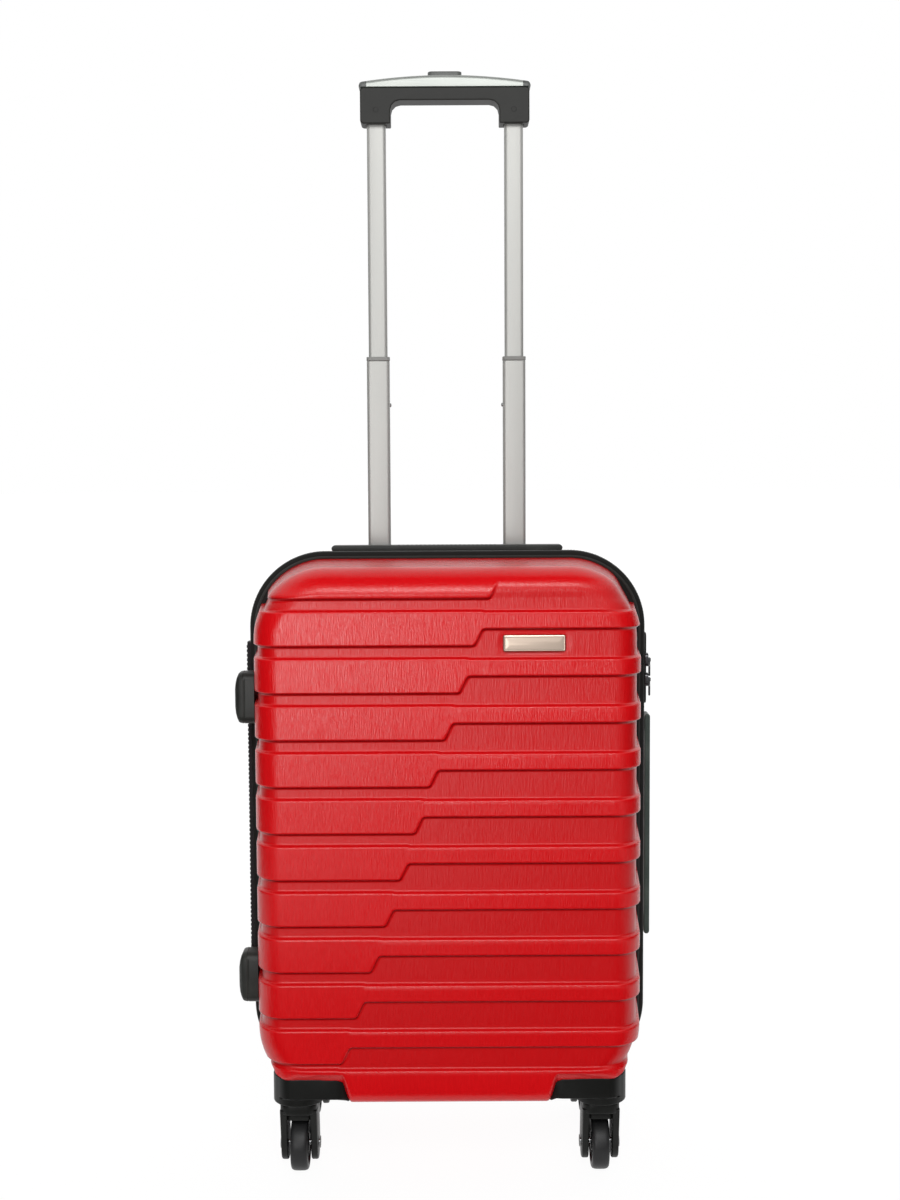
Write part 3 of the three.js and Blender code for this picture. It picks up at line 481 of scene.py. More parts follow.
class Form:
    """A mesh in the making, as vertices and faces."""

    def __init__(self) -> None:
        """Starts empty."""
        self.points: list[tuple[float, float, float]] = []
        self.faces: list[tuple[int, ...]] = []

    def add(self, points: Iterable[Point], faces: Iterable[Sequence[int]]) -> None:
        """Adds vertices and faces that are numbered from those vertices.

        Args:
            points: the vertices.
            faces: each face as numbers of those vertices.
        """
        start = len(self.points)
        self.points.extend(tuple(float(c) for c in p) for p in points)
        self.faces.extend(tuple(start + i for i in face) for face in faces)

    def loft(self, rings: Sequence[np.ndarray], loop: bool = False) -> None:
        """Skins closed rings that have the same number of points.

        Args:
            rings: the rings, in order.
            loop: joins the last ring to the first, instead of closing both ends.
        """
        count = len(rings[0])
        points = [p for ring in rings for p in ring]
        faces = []
        spans = len(rings) if loop else len(rings) - 1
        for j in range(spans):
            a, b = j * count, ((j + 1) % len(rings)) * count
            for i in range(count):
                k = (i + 1) % count
                faces.append((a + i, a + k, b + k, b + i))
        if not loop:
            faces.append(tuple(reversed(range(count))))
            faces.append(tuple(range((len(rings) - 1) * count, len(rings) * count)))
        self.add(points, faces)

    def block(
        self, low: Point, high: Point, axis: Axis = Axis.Z, corner: float = 2 * MM,
        edge: float = 0.8 * MM, crown: float = 0.0,
    ) -> None:
        """A block between two corners, with round corners about an axis and round end edges.

        Args:
            low: lowest corner.
            high: highest corner.
            axis: the axis that the section is swept along.
            corner: radius of the corners about that axis.
            edge: radius of the edges at both ends.
            crown: how far the far end bulges beyond its edge.
        """
        first, second = [(1, 2), (2, 0), (0, 1)][axis.value]
        low, high = np.array(low, float), np.array(high, float)
        middle, size = (low + high) / 2, high - low
        steps = 3
        levels = []
        for s in range(steps + 1):
            turn = math.pi / 2 * s / steps
            levels.append((low[axis.value] + edge * (1 - math.sin(turn)), edge * (1 - math.cos(turn))))
        levels.reverse()
        for s in range(steps + 1):
            turn = math.pi / 2 * s / steps
            top = high[axis.value] - crown
            levels.append((top - edge * (1 - math.sin(turn)), edge * (1 - math.cos(turn))))
        if crown:
            inset = min(size[first], size[second]) * 0.3
            levels.append((high[axis.value], edge + inset))
        rings = []
        for level, inset in levels:
            flat = rounded_rectangle(
                size[first] - 2 * inset, size[second] - 2 * inset, max(corner - inset, 0.2 * MM)
            )
            ring = np.zeros((len(flat), 3))
            ring[:, first] = flat[:, 0] + middle[first]
            ring[:, second] = flat[:, 1] + middle[second]
            ring[:, axis.value] = level
            rings.append(ring)
        self.loft(rings)

    def lathe(
        self, profile: Sequence[tuple[float, float]], centre: Point, axis: Axis = Axis.X,
        steps: int = 48, wobble: Optional[Callable[[float, float], float]] = None,
    ) -> None:
        """Turns a closed profile about an axis.

        Args:
            profile: pairs of radius and distance along the axis, as a closed loop.
            centre: a point on the axis.
            axis: its direction.
            steps: segments round.
            wobble: gives the factor on the radius from the radius and the angle.
        """
        first, second = [(1, 2), (2, 0), (0, 1)][axis.value]
        rings = []
        for s in range(steps):
            angle = 2 * math.pi * s / steps
            ring = np.zeros((len(profile), 3))
            for i, (radius, along) in enumerate(profile):
                reach = radius * (wobble(radius, angle) if wobble else 1.0)
                ring[i, first] = centre[first] + reach * math.cos(angle)
                ring[i, second] = centre[second] + reach * math.sin(angle)
                ring[i, axis.value] = centre[axis.value] + along
            rings.append(ring)
        self.loft(rings, loop=True)

    def piece(
        self, name: str, body: str, slot: Slot, finish: bpy.types.Material,
        replaces: Sequence[str] = (), sharp: float = 40.0, ride: bool = True,
    ) -> Piece:
        """Makes the object, dresses it and lets it ride on a body.

        Args:
            name: the piece's name.
            body: the body that it rides on.
            slot: the record's material slot; not used.
            finish: its material.
            replaces: the solid nodes that it stands for.
            sharp: edges that turn by more than this, in degrees, stay sharp.
            ride: whether it rides now.

        Returns:
            The object.
        """
        mesh = bpy.data.meshes.new(name)
        mesh.from_pydata(self.points, [], self.faces)
        return dress(mesh, name, body, finish, replaces, sharp, ride)


def dress(
    mesh: bpy.types.Mesh, name: str, body: str, finish: bpy.types.Material,
    replaces: Sequence[str] = (), sharp: float = 40.0, ride: bool = True,
) -> Piece:
    """Turns a mesh into a finished piece that rides on a body.

    Args:
        mesh: the mesh.
        name: the piece's name.
        body: the body that it rides on.
        finish: its material.
        replaces: the solid nodes that it stands for.
        sharp: edges that turn by more than this, in degrees, stay sharp.
        ride: whether it rides now.

    Returns:
        The object.
    """
    tidy = bmesh.new()
    tidy.from_mesh(mesh)
    bmesh.ops.remove_doubles(tidy, verts=tidy.verts, dist=0.5e-5)
    bmesh.ops.dissolve_degenerate(tidy, dist=1e-6, edges=tidy.edges)
    bmesh.ops.recalc_face_normals(tidy, faces=tidy.faces)
    tidy.to_mesh(mesh)
    tidy.free()
    mesh.shade_smooth()
    mesh.set_sharp_from_angle(angle=math.radians(sharp))
    mesh.materials.clear()
    mesh.materials.append(finish)
    piece = bpy.data.objects.new(name, mesh)
    bpy.context.scene.collection.objects.link(piece)
    if ride:
        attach(piece, body)
    if replaces:
        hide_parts(*replaces)
    return piece


def applied(piece: Piece, *modifiers: tuple[str, dict]) -> None:
    """Adds modifiers to a piece and makes their result its mesh.

    Args:
        piece: the piece.
        modifiers: pairs of a modifier's kind and its settings.
    """
    for kind, settings in modifiers:
        modifier = piece.modifiers.new(kind.lower(), kind)
        for name, value in settings.items():
            setattr(modifier, name, value)
    evaluated = piece.evaluated_get(bpy.context.evaluated_depsgraph_get())
    mesh = bpy.data.meshes.new_from_object(evaluated)
    piece.modifiers.clear()
    piece.data = mesh


def softened(
    node: str, name: str, body: str, finish: bpy.types.Material,
    width: float = 0.8 * MM, segments: int = 2,
) -> Piece:
    """A copy of a solid node whose edges are rounded, which stands for the node.

    Args:
        node: the solid node.
        name: the piece's name.
        body: the body that it rides on.
        finish: its material.
        width: how wide the rounding is.
        segments: its segments.

    Returns:
        The piece.
    """
    work = bmesh.new()
    work.from_mesh(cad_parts[node].data)
    bmesh.ops.remove_doubles(work, verts=work.verts, dist=1e-5)
    bmesh.ops.dissolve_limit(work, angle_limit=math.radians(1.5), verts=work.verts, edges=work.edges)
    mesh = bpy.data.meshes.new(name)
    work.verts.index_update()
    mesh.from_pydata(
        [v.co[:] for v in work.verts], [], [[v.index for v in f.verts] for f in work.faces]
    )
    work.free()
    piece = dress(mesh, name, body, finish, [node], 30)
    applied(
        piece,
        ("BEVEL", {
            "width": width, "segments": segments, "limit_method": "ANGLE",
            "angle_limit": math.radians(32), "use_clamp_overlap": False,
        }),
        ("WEIGHTED_NORMAL", {"keep_sharp": False}),
    )
    return piece


def smooth_rise(value: np.ndarray, low: float, high: float) -> np.ndarray:
    """A smooth rise from 0 at low to 1 at high."""
    share = np.clip((value - low) / (high - low), 0, 1)
    return share * share * (3 - 2 * share)


def soft_max(first: np.ndarray, second: np.ndarray, radius: float) -> np.ndarray:
    """The larger of two, rounded where they cross."""
    share = np.clip(0.5 + 0.5 * (first - second) / radius, 0, 1)
    return second + (first - second) * share + radius * share * (1 - share)


POCKET_RISE = 5.3 * MM
POCKET_INNER_RISE = 3.2 * MM
POCKET_X = (85 * MM, 94 * MM)
POCKET_Y = (27 * MM, 31 * MM)
POCKET_INNER_X = (112 * MM, 126 * MM)
POCKET_INNER_Z = (74 * MM, 82 * MM)
POCKET_TOP = (87 * MM, 101.5 * MM)


def caster_pocket(points: np.ndarray) -> np.ndarray:
    """How far the underside is raised round a caster's housing, at each point.

    Args:
        points: places, with X, Y and Z along the last axis.

    Returns:
        The rise at each place.
    """
    x, y, z = np.abs(points[..., 0]), np.abs(points[..., 1]), points[..., 2]
    around = smooth_rise(x, *POCKET_X) * smooth_rise(y, *POCKET_Y)
    inner = (1 - smooth_rise(x, *POCKET_INNER_X)) * smooth_rise(z, *POCKET_INNER_Z)
    return (POCKET_RISE + POCKET_INNER_RISE * inner) * around * (1 - smooth_rise(z, *POCKET_TOP))


# ------------------------------------------------------------------ the two hard shells


@dataclass
class HardShell:
    """One pressed half of the case, with its stepped ribs."""

    side: int
    body: str
    node: str
    half_width: float = 0.172
    half_height: float = 0.23525
    middle: float = 0.30475
    rim: float = 0.4 * MM
    radius: float = 62 * MM
    draft: float = 5 * MM
    end_draft: float = 3.5 * MM
    straight: float = 72 * MM
    edge_width: float = 24 * MM
    edge_depth: float = 30 * MM
    wall: float = 2.4 * MM
    relief: float = 3.5 * MM
    rib_pitch: float = 40.3 * MM
    first_top: float = 0.5005
    last_top: float = 0.1028
    rib_count: int = 10
    left_height: float = 30.3 * MM
    right_height: float = 15.8 * MM
    step_x: float = 39.6 * MM
    step_shift: float = 12.9 * MM
    step_slant: float = 7 * MM
    step_rise: float = 14.5 * MM
    open_top: float = 0.56
    flat_half: float = 0.104
    corner_columns: int = 50
    path_steps: int = 240
    wall_slope: float = 0.07
    row_pitch: float = 3.6 * MM
    row_gap: float = 0.45 * MM
    edge_rows: tuple = (-2.2, -1.4, -0.7, 0, 0.7, 1.4, 2.2)
    column_knots: tuple = (0, 5, 26, 50, 76, 88)
    step_range: tuple = (-0.088, 0.0425)
    dense: float = 10.8 * MM
    step_round: float = 2.5 * MM
    edge_half: float = 1.15 * MM
    fade: tuple = (10 * MM, 27 * MM)
    rim_fade: tuple = (1.5 * MM, 4.5 * MM)
    hole_half: float = 84.5 * MM
    hole_near: float = 69.5 * MM
    hole_far: float = 94.5 * MM
    hole_floor: float = 0.52
    seat_margin: tuple = (3.4 * MM, 2.2 * MM)
    seat_depth: float = 0.9 * MM
    seat_edge: tuple = (1.2 * MM, 0.4 * MM)
    seat_front: float = 0.09
    foot_x: tuple = (85 * MM, 94 * MM)
    foot_power: float = 0.45
    foot_drop: float = 3.2 * MM
    corner_x: tuple = (122 * MM, 148 * MM)
    corner_y: tuple = (76 * MM, 97 * MM)
    corner_z: tuple = (96 * MM, 102.5 * MM)
    corner_share: float = 0.8
    corner_out: float = 1.5 * MM
    corner_drop: float = 8.5 * MM
    mark_reach: float = 0.9 * MM

    def ring(self, share: np.ndarray) -> tuple[np.ndarray, ...]:
        """The form's ring from the rim, at 0, past the end of the straight wall, at 1, to the face, at 2.

        Args:
            share: where the ring is.

        Returns:
            Depth, half width, half height, corner radius and turn of the edge.
        """
        wall = np.clip(share, 0, 1)
        turn = np.clip(share - 1, 0, 1) * math.pi / 2
        depth = self.rim + (self.straight - self.rim) * wall + self.edge_depth * np.sin(turn)
        inset = self.edge_width * (1 - np.cos(turn))
        drop = (self.rim + (self.straight - self.rim) * wall) / self.straight
        width = self.half_width - self.draft * drop - inset
        height = self.half_height - self.end_draft * drop - inset
        return depth, width, height, self.radius - inset, turn

    def ribs(self) -> list[tuple[float, float, float, float]]:
        """Each rib's foot: the groove's floor, the left and the right underside and the step's middle.

        Returns:
            A row of those four for each rib.
        """
        tops = [self.first_top - self.rib_pitch * k for k in range(self.rib_count)] + [self.last_top]
        ceiling = self.first_top + self.rib_pitch
        found = []
        for k, top in enumerate(tops):
            low = ceiling - self.left_height
            found.append((top, low, ceiling - self.right_height, self.step_x - self.step_shift * k))
            ceiling = top
        return found

    def rows(self) -> np.ndarray:
        """The heights of the mesh's rows over the face, close together at the ribs' edges.

        Returns:
            The heights, rising.
        """
        face = self.ring(np.array(2.0))[2]
        levels = set(np.arange(self.middle - face, self.middle + face, self.row_pitch).round(6))
        for top, left, right, _ in self.ribs():
            for edge in (top, left, right):
                levels.update(edge + d * MM for d in self.edge_rows)
        levels = sorted(z for z in levels if abs(z - self.middle) < face - 1 * MM)
        kept = [levels[0]]
        for z in levels[1:]:
            if z - kept[-1] > self.row_gap:
                kept.append(z)
        return np.array(kept)

    def end_shares(self) -> np.ndarray:
        """Where the rows over the end walls cross the middle, from the face to the rim.

        Returns:
            Shares for ring(), falling.
        """
        turn = np.linspace(2, 1, 13)
        hole_far = 1 + math.asin((self.hole_far - self.straight) / self.edge_depth) / (math.pi / 2)
        hole_near = (self.hole_near - self.rim) / (self.straight - self.rim)
        wall = np.linspace(1, 0, 20)[1:]
        return np.array(sorted({*turn, *wall, hole_far, hole_near}, reverse=True))

    def grid(self) -> tuple[np.ndarray, np.ndarray]:
        """Points and outward normals of the plain form, by row and column.

        Returns:
            The points and the normals.
        """
        ends = self.end_shares()
        rows = [(self.middle - float(self.ring(s)[2]), s) for s in ends[::-1]]
        rows += [(z, 2.0) for z in self.rows()]
        rows += [(self.middle + float(self.ring(s)[2]), s) for s in ends]
        points, normals = [], []
        fine = np.linspace(0, 1, self.path_steps)
        for z, end in rows:
            dz = abs(z - self.middle)
            sign = 1 if z > self.middle else -1
            share = end * fine[::-1]
            depth, width, height, radius, _ = self.ring(share)
            rise = np.clip(dz - (height - radius), 0, radius)
            x = width - radius + np.sqrt(np.maximum(radius**2 - rise**2, 0))
            x[0] = max(x[0], self.flat_half)
            path_x = np.concatenate([[self.flat_half], x])
            path_y = np.concatenate([[depth[0]], depth])
            path_s = np.concatenate([[end], share])
            run = np.concatenate([[0], np.cumsum(np.hypot(np.diff(path_x), np.diff(path_y)))])
            even = np.linspace(0, run[-1], self.corner_columns + 1)
            cx, cs = np.interp(even, run, path_x), np.interp(even, run, path_s)
            cy, _, ch, cr, ct = self.ring(cs)
            up = np.clip((dz - (ch - cr)) / cr, 0, 1)
            out = np.sqrt(1 - up**2)
            steep_x, steep_y = self.edge_depth * np.cos(ct), self.edge_width * np.sin(ct)
            steep_y = np.where(cs < 1, self.wall_slope * self.edge_depth, steep_y)
            corner = np.stack([cx, cy, np.full_like(cx, z)], 1)
            normal = np.stack([steep_x * out, steep_y, sign * steep_x * up], 1)
            flat_x = self.flat_columns(z)
            flat = np.stack([flat_x, np.full_like(flat_x, cy[0]), np.full_like(flat_x, z)], 1)
            flat_up = 1.0 if end < 2 else 0.0
            flat_normal = np.array([0, steep_y[0], sign * steep_x[0] * flat_up])
            if end >= 2:
                flat_normal = np.array([0, 1.0, 0])
            flat_normals = np.tile(flat_normal, (len(flat_x), 1))
            left = corner[:0:-1] * [-1, 1, 1]
            left_normal = normal[:0:-1] * [-1, 1, 1]
            points.append(np.concatenate([left, flat, corner[1:]]))
            normals.append(np.concatenate([left_normal, flat_normals, normal[1:]]))
        points, normals = np.array(points), np.array(normals)
        normals /= np.linalg.norm(normals, axis=2, keepdims=True)
        return points, normals

    def flat_columns(self, z: float) -> np.ndarray:
        """The columns across the face's straight part, close together along the steps.

        Args:
            z: the row's height.

        Returns:
            X of each column.
        """
        fall = self.first_top + self.rib_pitch - (self.left_height + self.right_height) / 2 - z
        step = self.step_x - self.step_shift / self.rib_pitch * fall
        step = min(max(step, self.step_range[0]), self.step_range[1])
        left, right = step - self.dense, step + self.dense
        left_knot = min(-self.hole_half, -self.flat_half + (left + self.flat_half) * 5 / 26)
        right_knot = max(self.hole_half, right + (self.flat_half - right) * 22 / 40)
        places = (-self.flat_half, left_knot, left, right, right_knot, self.flat_half)
        return np.interp(np.arange(self.column_knots[-1] + 1), self.column_knots, places)

    def pressed(self, points: np.ndarray) -> np.ndarray:
        """How deep the face is pressed in at each point.

        Args:
            points: places on the plain form, at positive Y.

        Returns:
            The depth at each place.
        """
        x, y, z = points[..., 0], points[..., 1], points[..., 2]
        inside = np.full(x.shape, -1.0)
        for top, left, right, step in self.ribs():
            if top == self.first_top:
                right = self.open_top
            line = step + self.step_slant * (z - left - self.step_rise / 2) / self.step_rise
            across = (x - line) * 0.9
            narrow = np.minimum(z - top, left - z)
            wide = -soft_max(-np.minimum(z - top, right - z), -across, self.step_round)
            inside = np.maximum(inside, soft_max(narrow, wide, self.step_round))
        depth = self.relief * smooth_rise(inside, -self.edge_half, self.edge_half)
        open_end = 1 - smooth_rise(z, self.first_top + self.fade[0], self.first_top + self.fade[1])
        return depth * open_end * smooth_rise(y, *self.rim_fade)

    def recess(self, points: np.ndarray) -> np.ndarray:
        """The extra depth of the badge's seat.

        Args:
            points: places on the plain form, at positive Y.

        Returns:
            The depth at each place.
        """
        low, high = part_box("badge_plate")
        middle_x, middle_z = (low.x + high.x) / 2, (low.z + high.z) / 2
        half_x = (high.x - low.x) / 2 + self.seat_margin[0]
        half_z = (high.z - low.z) / 2 + self.seat_margin[1]
        reach = np.abs(points[..., 0] - middle_x) - (half_x - half_z)
        away = np.hypot(np.maximum(reach, 0), points[..., 2] - middle_z)
        inner, outer = half_z - self.seat_edge[0], half_z + self.seat_edge[1]
        seat = self.seat_depth * (1 - smooth_rise(away, inner, outer))
        return np.where(points[..., 1] > self.seat_front, seat, 0)

    def build(self, finishes: Finishes) -> list[Piece]:
        """Builds and dresses the shell.

        Args:
            finishes: every finish of the suitcase.

        Returns:
            The pieces.
        """
        points, normals = self.grid()
        depth = self.pressed(points)
        if self.side < 0:
            depth = depth + self.recess(points)
        shaped = points - normals * depth[..., None] + self.fuller_foot(points)
        shaped[..., 2] += caster_pocket(shaped)
        across = shaped.shape[1]
        middle = points[:-1, :-1] * 0.25 + points[1:, :-1] * 0.25
        middle = middle + points[:-1, 1:] * 0.25 + points[1:, 1:] * 0.25
        open_hole = (
            (self.side > 0) & (np.abs(middle[..., 0]) < self.hole_half)
            & (middle[..., 2] > self.hole_floor)
            & (middle[..., 1] > self.hole_near) & (middle[..., 1] < self.hole_far)
        )
        shaped[..., 1] *= self.side
        faces = []
        for j, i in np.argwhere(~open_hole):
            a, b = j * across + i, (j + 1) * across + i
            faces.append((a, a + 1, b + 1, b))
        form = Form()
        form.add(shaped.reshape(-1, 3), faces)
        name = "front_shell_skin" if self.side < 0 else "rear_shell_skin"
        piece = form.piece(name, self.body, Slot.RED_SHELL, finishes.red, [self.node], 60)
        self.face_outwards(piece.data)
        self.mark_pressed(piece.data)
        applied(piece, ("SOLIDIFY", {"thickness": self.wall, "offset": -1.0, "use_rim": True}))
        piece.data.shade_smooth()
        piece.data.set_sharp_from_angle(angle=math.radians(60))
        return [piece]

    def fuller_foot(self, points: np.ndarray) -> np.ndarray:
        """How the plain form is moved for a flat underside, a tight lower edge and full lower corners.

        Args:
            points: places on the plain form, at positive Y.

        Returns:
            The move at each place.
        """
        turn = np.arcsin(np.clip((points[..., 1] - self.straight) / self.edge_depth, 0, 1))
        between = 1 - smooth_rise(np.abs(points[..., 0]), *self.foot_x)
        between = np.where(points[..., 2] < self.middle, between, 0)
        full_cos, full_sin = np.cos(turn) ** self.foot_power, np.sin(turn) ** self.foot_power
        drop = self.edge_width * (full_cos - np.cos(turn))
        drop = drop + self.foot_drop * full_cos * np.clip(points[..., 1] / self.straight, 0, 1)
        x, y, z = points[..., 0], points[..., 1], points[..., 2]
        corner = smooth_rise(np.abs(x), *self.corner_x) * (1 - smooth_rise(z, *self.corner_z))
        low_corner = corner * smooth_rise(y, *self.corner_y)
        move = np.zeros_like(points)
        fuller = between + corner * self.corner_share
        move[..., 0] = np.sign(x) * low_corner * self.corner_out
        move[..., 1] = fuller * self.edge_depth * (full_sin - np.sin(turn))
        move[..., 2] = -between * drop - low_corner * self.corner_drop
        return move

    def mark_pressed(self, mesh: bpy.types.Mesh) -> None:
        """Notes on each vertex how far its place is pressed in, and if it lies under a raised rib; the
        shell's material paints shade from both marks.

        Args:
            mesh: the skin's mesh.
        """
        places = np.zeros(len(mesh.vertices) * 3)
        mesh.vertices.foreach_get("co", places)
        places = places.reshape(-1, 3) * [1, self.side, 1]
        reach = np.array([0, 0, self.mark_reach])
        fall = self.pressed(places - reach) - self.pressed(places + reach)
        for name, values in (("press_depth", self.pressed(places)), ("underside", fall)):
            marks = mesh.attributes.new(name, "FLOAT", "POINT")
            marks.data.foreach_set("value", np.clip(values / self.relief, 0, 1).astype(np.float32))

    def face_outwards(self, mesh: bpy.types.Mesh) -> None:
        """Turns the open skin so that its face looks away from the case.

        Args:
            mesh: the skin's mesh.
        """
        total = sum(p.normal.y * p.area for p in mesh.polygons)
        if total * self.side < 0:
            mesh.flip_normals()


# ------------------------------------------------------------------ zip, hinge and trims


@dataclass
class RimPath:
    """The rounded outline that the zip runs along."""

    half_width: float = 0.172
    half_height: float = 0.23525
    middle: float = 0.30475
    radius: float = 62 * MM
    spacing: float = 4 * MM

    def at(self, distance: float) -> tuple[np.ndarray, np.ndarray]:
        """The point and the outward direction after a distance along the outline.

        Args:
            distance: the distance from the foot of the right side.

        Returns:
            The point and the direction.
        """
        flat_x, flat_z = self.half_width - self.radius, self.half_height - self.radius
        bend = math.pi / 2 * self.radius
        distance %= self.length()
        for index in range(4):
            straight = 2 * (flat_z if index % 2 == 0 else flat_x)
            base = math.pi / 2 * index
            out = np.array([math.cos(base), 0, math.sin(base)])
            along = np.array([-math.sin(base), 0, math.cos(base)])
            reach = self.half_width if index % 2 == 0 else self.half_height
            if distance <= straight:
                point = out * reach + along * (distance - straight / 2)
                return point + [0, 0, self.middle], out
            distance -= straight
            if distance <= bend:
                angle = base + distance / self.radius
                out_now = np.array([math.cos(angle), 0, math.sin(angle)])
                centre = out * (reach - self.radius) + along * straight / 2
                return centre + out_now * self.radius + [0, 0, self.middle], out_now
            distance -= bend
        return self.at(0.0)

    def length(self) -> float:
        """The outline's length."""
        straight = 4 * (self.half_width + self.half_height - 2 * self.radius)
        return straight + 2 * math.pi * self.radius

    def sweep(self, profile: Sequence[tuple[float, float]]) -> list[np.ndarray]:
        """Rings of a profile of (outwards, depth) pairs along the outline.

        Args:
            profile: pairs of outwards and depth.

        Returns:
            The rings.
        """
        steps = int(self.length() / self.spacing)
        rings = []
        for s in range(steps):
            point, out = self.at(self.length() * s / steps)
            rings.append(np.array([point + out * o + [0, d, 0] for o, d in profile]))
        return rings


@dataclass
class ZipBand:
    """The woven tape round one half's rim, its piping and its row of teeth."""

    side: int
    body: str
    node: str
    pitch: float = 2.6 * MM

    def build(self, finishes: Finishes) -> list[Piece]:
        """Builds the tape, the piping and the teeth.

        Args:
            finishes: every finish of the suitcase.

        Returns:
            The pieces.
        """
        path = RimPath()
        tape = [(-4.5, 0.5), (5.7, 0.5), (6.2, 0.9), (6.35, 2.6), (6.2, 4.2), (5.6, 5.3)]
        tape += [(4.3, 5.9), (2.6, 6.15), (0.4, 6.3), (-4.5, 6.3)]
        form = Form()
        form.loft(path.sweep(self.placed(tape)), loop=True)
        name = "front" if self.side < 0 else "rear"
        pieces = [form.piece(f"{name}_zip_band", self.body, Slot.ZIP_TAPE, finishes.tape, [self.node])]
        bead = [(1.1 + 1.0 * math.cos(a), 6.2 + 0.75 * math.sin(a)) for a in np.linspace(0, 5.5, 8)]
        form = Form()
        form.loft(path.sweep(self.placed(bead)), loop=True)
        pieces.append(form.piece(f"{name}_rim_piping", self.body, Slot.ZIP_TAPE, finishes.piping))
        pieces.append(self.teeth(path, name, finishes))
        return pieces

    def placed(self, profile: Sequence[tuple[float, float]]) -> list[tuple[float, float]]:
        """A profile in millimetres on this half's side."""
        return [(o * MM, d * MM * self.side) for o, d in profile]

    def teeth(self, path: RimPath, name: str, finishes: Finishes) -> Piece:
        """The moulded teeth along the tape's inner edge.

        Args:
            path: the outline.
            name: front or rear.
            finishes: every finish of the suitcase.

        Returns:
            The teeth.
        """
        form = Form()
        count = int(path.length() / self.pitch)
        shift = 0.0 if self.side > 0 else 0.5
        half = self.pitch * 0.22
        box = [(6.0, 0.42), (6.5, 0.6), (6.5, 1.9), (6.0, 2.3)]
        for i in range(count):
            rings = []
            for offset in (-half, half):
                point, out = path.at(self.pitch * (i + shift) + offset)
                rings.append(np.array([point + out * o + [0, d, 0] for o, d in self.placed(box)]))
            form.loft(rings)
        return form.piece(f"{name}_zip_teeth", self.body, Slot.ZIP_TAPE, finishes.black, (), 20)


@dataclass
class ClothHinge:
    """The strip of webbing down the left side that the case opens on."""

    thick: float = 2.2 * MM
    rows: int = 80
    columns: int = 14
    inner_lean: float = 0.9 * MM
    outer_lean: float = 0.35 * MM
    rib_height: float = 0.12 * MM
    rib_count: int = 6
    stitch_pitch: float = 4 * MM
    stitch_length: float = 2.6 * MM

    def build(self, finishes: Finishes) -> list[Piece]:
        """Builds the strip with its two rows of stitches.

        Args:
            finishes: every finish of the suitcase.

        Returns:
            The pieces.
        """
        low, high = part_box("hinge_strip")
        form = Form()
        rings = []
        for j in range(self.rows + 1):
            z = low.z + (high.z - low.z) * j / self.rows
            ring = []
            for x, signs in ((high.x - 0.1 * MM, 1), (high.x - self.thick, -1)):
                for i in range(self.columns + 1):
                    share = i / self.columns if signs > 0 else 1 - i / self.columns
                    y = low.y + (high.y - low.y) * share
                    edge = min(share, 1 - share)
                    lean = self.inner_lean if signs > 0 else self.outer_lean
                    crown = lean * (1 - min(edge * 5, 1))
                    wave = math.cos(2 * math.pi * share * self.rib_count)
                    rib = self.rib_height * wave if signs < 0 else 0.0
                    ring.append((x + crown - rib, y, z))
            rings.append(np.array(ring))
        form.loft(rings)
        strip = form.piece(
            "hinge_webbing", "rear_case", Slot.ZIP_TAPE, finishes.strap, ["hinge_strip"], 50, False
        )
        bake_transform(strip)
        pieces = [strip]
        for name, body, y in (("rear", "rear_case", 5.4), ("front", "front_case", -5.4)):
            stitches = Form()
            for k in range(int((high.z - low.z) / self.stitch_pitch) - 1):
                z = low.z + 3 * MM + self.stitch_pitch * k
                stitches.block(
                    (low.x - 0.1 * MM, (y - 0.3) * MM, z),
                    (low.x + 0.6 * MM, (y + 0.3) * MM, z + self.stitch_length),
                    Axis.Z, 0.25 * MM, 0.2 * MM,
                )
            pieces.append(stitches.piece(f"{name}_hinge_stitches", body, Slot.ZIP_TAPE, finishes.piping))
        return pieces


@dataclass
class SideFoot:
    """A domed rubber foot on the left side, to lay the case down on."""

    node: str
    body: str

    def build(self, finishes: Finishes) -> list[Piece]:
        """Builds the dome with its moulded groove.

        Args:
            finishes: every finish of the suitcase.

        Returns:
            The pieces.
        """
        low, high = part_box(self.node)
        middle_y, middle_z = (low.y + high.y) / 2, (low.z + high.z) / 2
        wide, tall = high.y - low.y, high.z - low.z
        root = high.x - 1.0 * MM
        levels = [(root, 1.0, 1.0), (-0.1765, 1.0, 1.0), (-0.1780, 1.0, 1.0), (-0.1782, 0.985, 0.99)]
        levels += [(-0.1790, 0.985, 0.99), (-0.1792, 1.0, 1.0), (-0.1822, 0.985, 0.975)]
        levels += [(-0.1834, 0.95, 0.94), (-0.1848, 0.86, 0.81), (-0.1859, 0.73, 0.64)]
        levels += [(-0.1867, 0.52, 0.42), (-0.18695, 0.2, 0.15)]
        rings = []
        for x, share_y, share_z in levels:
            flat = rounded_rectangle(wide * share_y, tall * share_z, 7 * MM * share_z, 5)
            rings.append(np.array([(x, middle_y + p, middle_z + q) for p, q in flat]))
        form = Form()
        form.loft(rings)
        return [
            form.piece(f"{self.node}_dome", self.body, Slot.BLACK_RUBBER, finishes.rubber, [self.node], 45)
        ]


